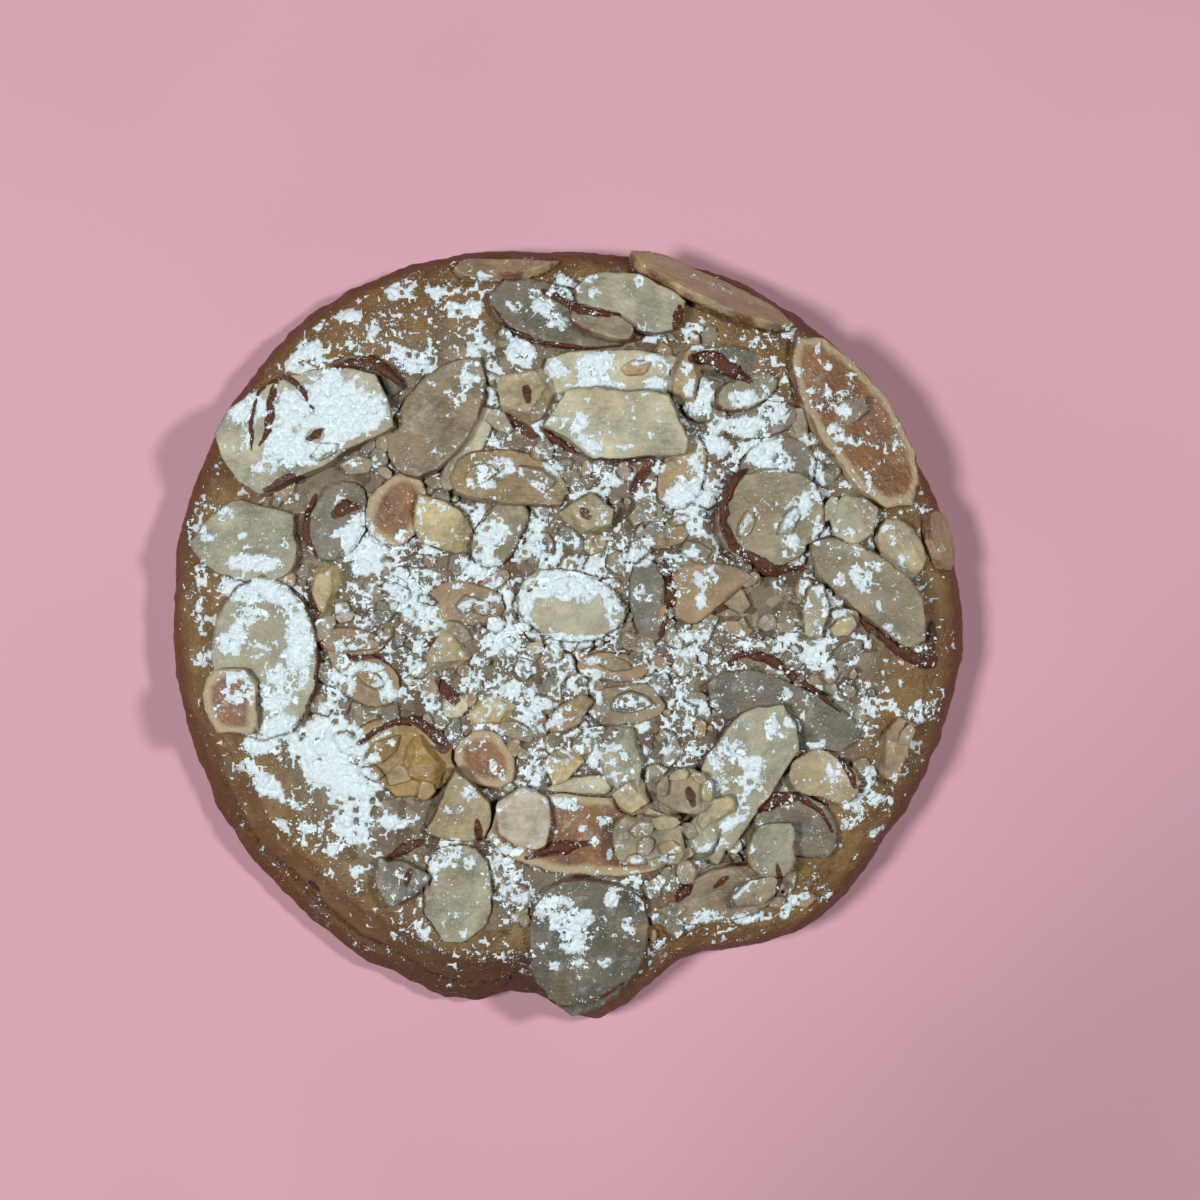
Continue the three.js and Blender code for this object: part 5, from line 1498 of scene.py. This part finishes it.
for slot, flakes in almonds.items():
    finish, colour, cloud = flesh(slot + "_flesh")
    streak = finish.mottle(1.0 * MM, 3, finish.stretched("grain", (0.2, 1, 1)))
    colour = finish.scaled(colour, 0.85 + 0.3 * streak)
    edge = finish.painted("edge") + 0.6 * (finish.mottle(1.2 * MM) - 0.5)
    # How far a point faces sideways: the sides are painted paler with it, as painted light for light soaking
    # through the cut.
    painted_side_light = 1 - finish.painted("upward").ramp(0.35, 0.75)
    if slot == "almond_toasted":
        colour = finish.mix(1 - edge.ramp(0.6, 1.4), colour, CREAM_BORDER_AND_PAINTED_SIDE_LIGHT)
    colour = finish.mix(painted_side_light * 0.55, colour, CREAM_BORDER_AND_PAINTED_SIDE_LIGHT)
    left_on = finish.mottle(5 * MM, 2).ramp(0.46, 0.56)
    colour = finish.mix((1 - edge.ramp(0.0, 0.3)) * left_on * 0.8, colour, SKIN_RED)
    relief = streak + 0.8 * finish.mottle(0.5 * MM, 3)
    dress(finish, with_skin_and_gap_shade(finish, colour), 0.36 + 0.24 * cloud, relief, 0.2 * MM)
    flakes.data.materials.append(finish.material)
print(len(almonds), "kinds of flesh")

# %% The chopped pieces' finish
finish, colour, cloud = flesh("chopped_flesh")
grain = finish.mottle(0.8 * MM, 3)
colour = finish.scaled(colour, 0.62 + 0.86 * grain)
dress(finish, with_skin_and_gap_shade(finish, colour), 0.38 + 0.22 * cloud, cloud + grain, 0.25 * MM)
for piece in (chopped_nuts, almond_shards):
    piece.data.materials.append(finish.material)
print("chopped almonds done")

# %% [markdown]
# ## Skin, leathery and dark
# Almond skin bakes to a dark red-brown and shines a little along its ridges. Where its bump dips into folds
# it is painted nearly black, partly its own darker tone and partly painted shade.

# %% The skins' finish
leather = Finish("almond_skin_brown")
folds_and_fold_shade = leather.mottle(0.5 * MM, 4)
# Darker where the bump dips into the folds: partly the skin's own tone, partly painted shade.
leather_brown_and_fold_shade = leather.mix(folds_and_fold_shade.ramp(0.25, 0.75), SKIN_DARK, SKIN_RED)
dress(leather, leather_brown_and_fold_shade, 0.42 + 0.3 * folds_and_fold_shade, folds_and_fold_shade, 0.1 * MM)
leather.set("Specular IOR Level", 0.3)
skins.data.materials.append(leather.material)
print("skins done")

# %% [markdown]
# ## Sugar, white and dull
# Powdered sugar scatters light between its grains, so it is nearly white, faintly blue beside the warm crust,
# and has no shine at all. A fine grain in the bump keeps it from looking like icing.

# %% The sugar's finish
SUGAR_SHADE = (0.68, 0.78, 0.81)

powder = Finish("sugar_powder")
grains = powder.mottle(0.3 * MM, 3, roughness=0.7)
powder.set("Base Color", powder.mix(grains.ramp(0.3, 0.6), SUGAR_SHADE, SUGAR_WHITE))
powder.set("Roughness", 0.95)
powder.set("Specular IOR Level", 0.15)
powder.scatter(0.15, 0.6 * MM)
powder.bump(grains + powder.mottle(0.8 * MM, 3), 0.22 * MM)
for half in sugar:
    half.data.materials.append(powder.material)
print("sugar done")

# %% [markdown]
# ## The table, the lights and the camera
# The cookie is seen from straight above, a little off its middle, from about 30 cm. Two soft lights stand
# above it, one to the left and a smaller one to the right, so it has a short soft shadow on both sides.

# %% The table
FLOOR_SIZE = 4.0  # metres
PAPER_TONES = (0.62, 0.345, 0.41), (0.66, 0.37, 0.44)

floor_bm = bmesh.new()
bmesh.ops.create_grid(floor_bm, x_segments=1, y_segments=1, size=FLOOR_SIZE / 2)
floor = piece_of("floor", floor_bm)
paper = Finish("pale_paper")
pink = paper.mix(paper.mottle(60 * MM, 2).ramp(0.2, 0.8), *PAPER_TONES)
# The paper is painted up to 22 percent darker towards the south-east: painted shade for the light falling off
# there.
painted_falloff_south_east = paper.coordinate("X") - paper.coordinate("Y")
paper.set("Base Color", paper.scaled(pink, 1.0 - 0.22 * painted_falloff_south_east.ramp(0.05, 0.12)))
paper.set("Roughness", 0.9)
floor.data.materials.append(paper.material)
print("a table", FLOOR_SIZE, "m wide")

# %% The lights
LIGHTS = {  # place and size in metres, power in watts
    "left_light": ((-0.34, -0.05, 0.61), 0.15, 3.50),
    "right_light": ((0.40, 0.10, 0.60), 0.08, 2.58),
}
ROOM_COLOUR = (0.94, 0.97, 1.0, 1)
ROOM_STRENGTH = 0.012


def soft_light(name, place, size, power):
    """Hangs up a round lamp that shines at the cookie."""
    light = bpy.data.lights.new(name, "AREA")
    light.shape = "DISK"
    light.size = size
    light.energy = power
    lamp = bpy.data.objects.new(name, light)
    lamp.location = place
    lamp.rotation_euler = (-Vector(place)).to_track_quat("-Z", "Y").to_euler()
    scene.collection.objects.link(lamp)


for name, row in LIGHTS.items():
    soft_light(name, *row)
world = bpy.data.worlds.new("room")
world.use_nodes = True
world.node_tree.nodes["Background"].inputs["Color"].default_value = ROOM_COLOUR
world.node_tree.nodes["Background"].inputs["Strength"].default_value = ROOM_STRENGTH
scene.world = world
scene.view_settings.view_transform = "Standard"
print(len(LIGHTS), "soft lights and a dim room")

# %% The camera
PHOTO_PIXELS = 1200  # the picture's width
FOCAL_PIXELS = 2581  # the lens's focal length in those pixels
CAMERA_PLACE = (3.78, 3.61)  # in plan, in millimetres
CAMERA_HEIGHT = 300 * MM
SENSOR_WIDTH = 36  # millimetres

camera_data = bpy.data.cameras.new("camera")
camera_data.sensor_width = SENSOR_WIDTH
camera_data.lens = SENSOR_WIDTH * FOCAL_PIXELS / PHOTO_PIXELS
camera = bpy.data.objects.new("camera", camera_data)
camera.location = on_ground(CAMERA_PLACE) + Vector((0, 0, CAMERA_HEIGHT))
scene.collection.objects.link(camera)
scene.camera = camera
print("camera", round(camera_data.lens, 1), "mm lens at", [round(value, 4) for value in camera.location])
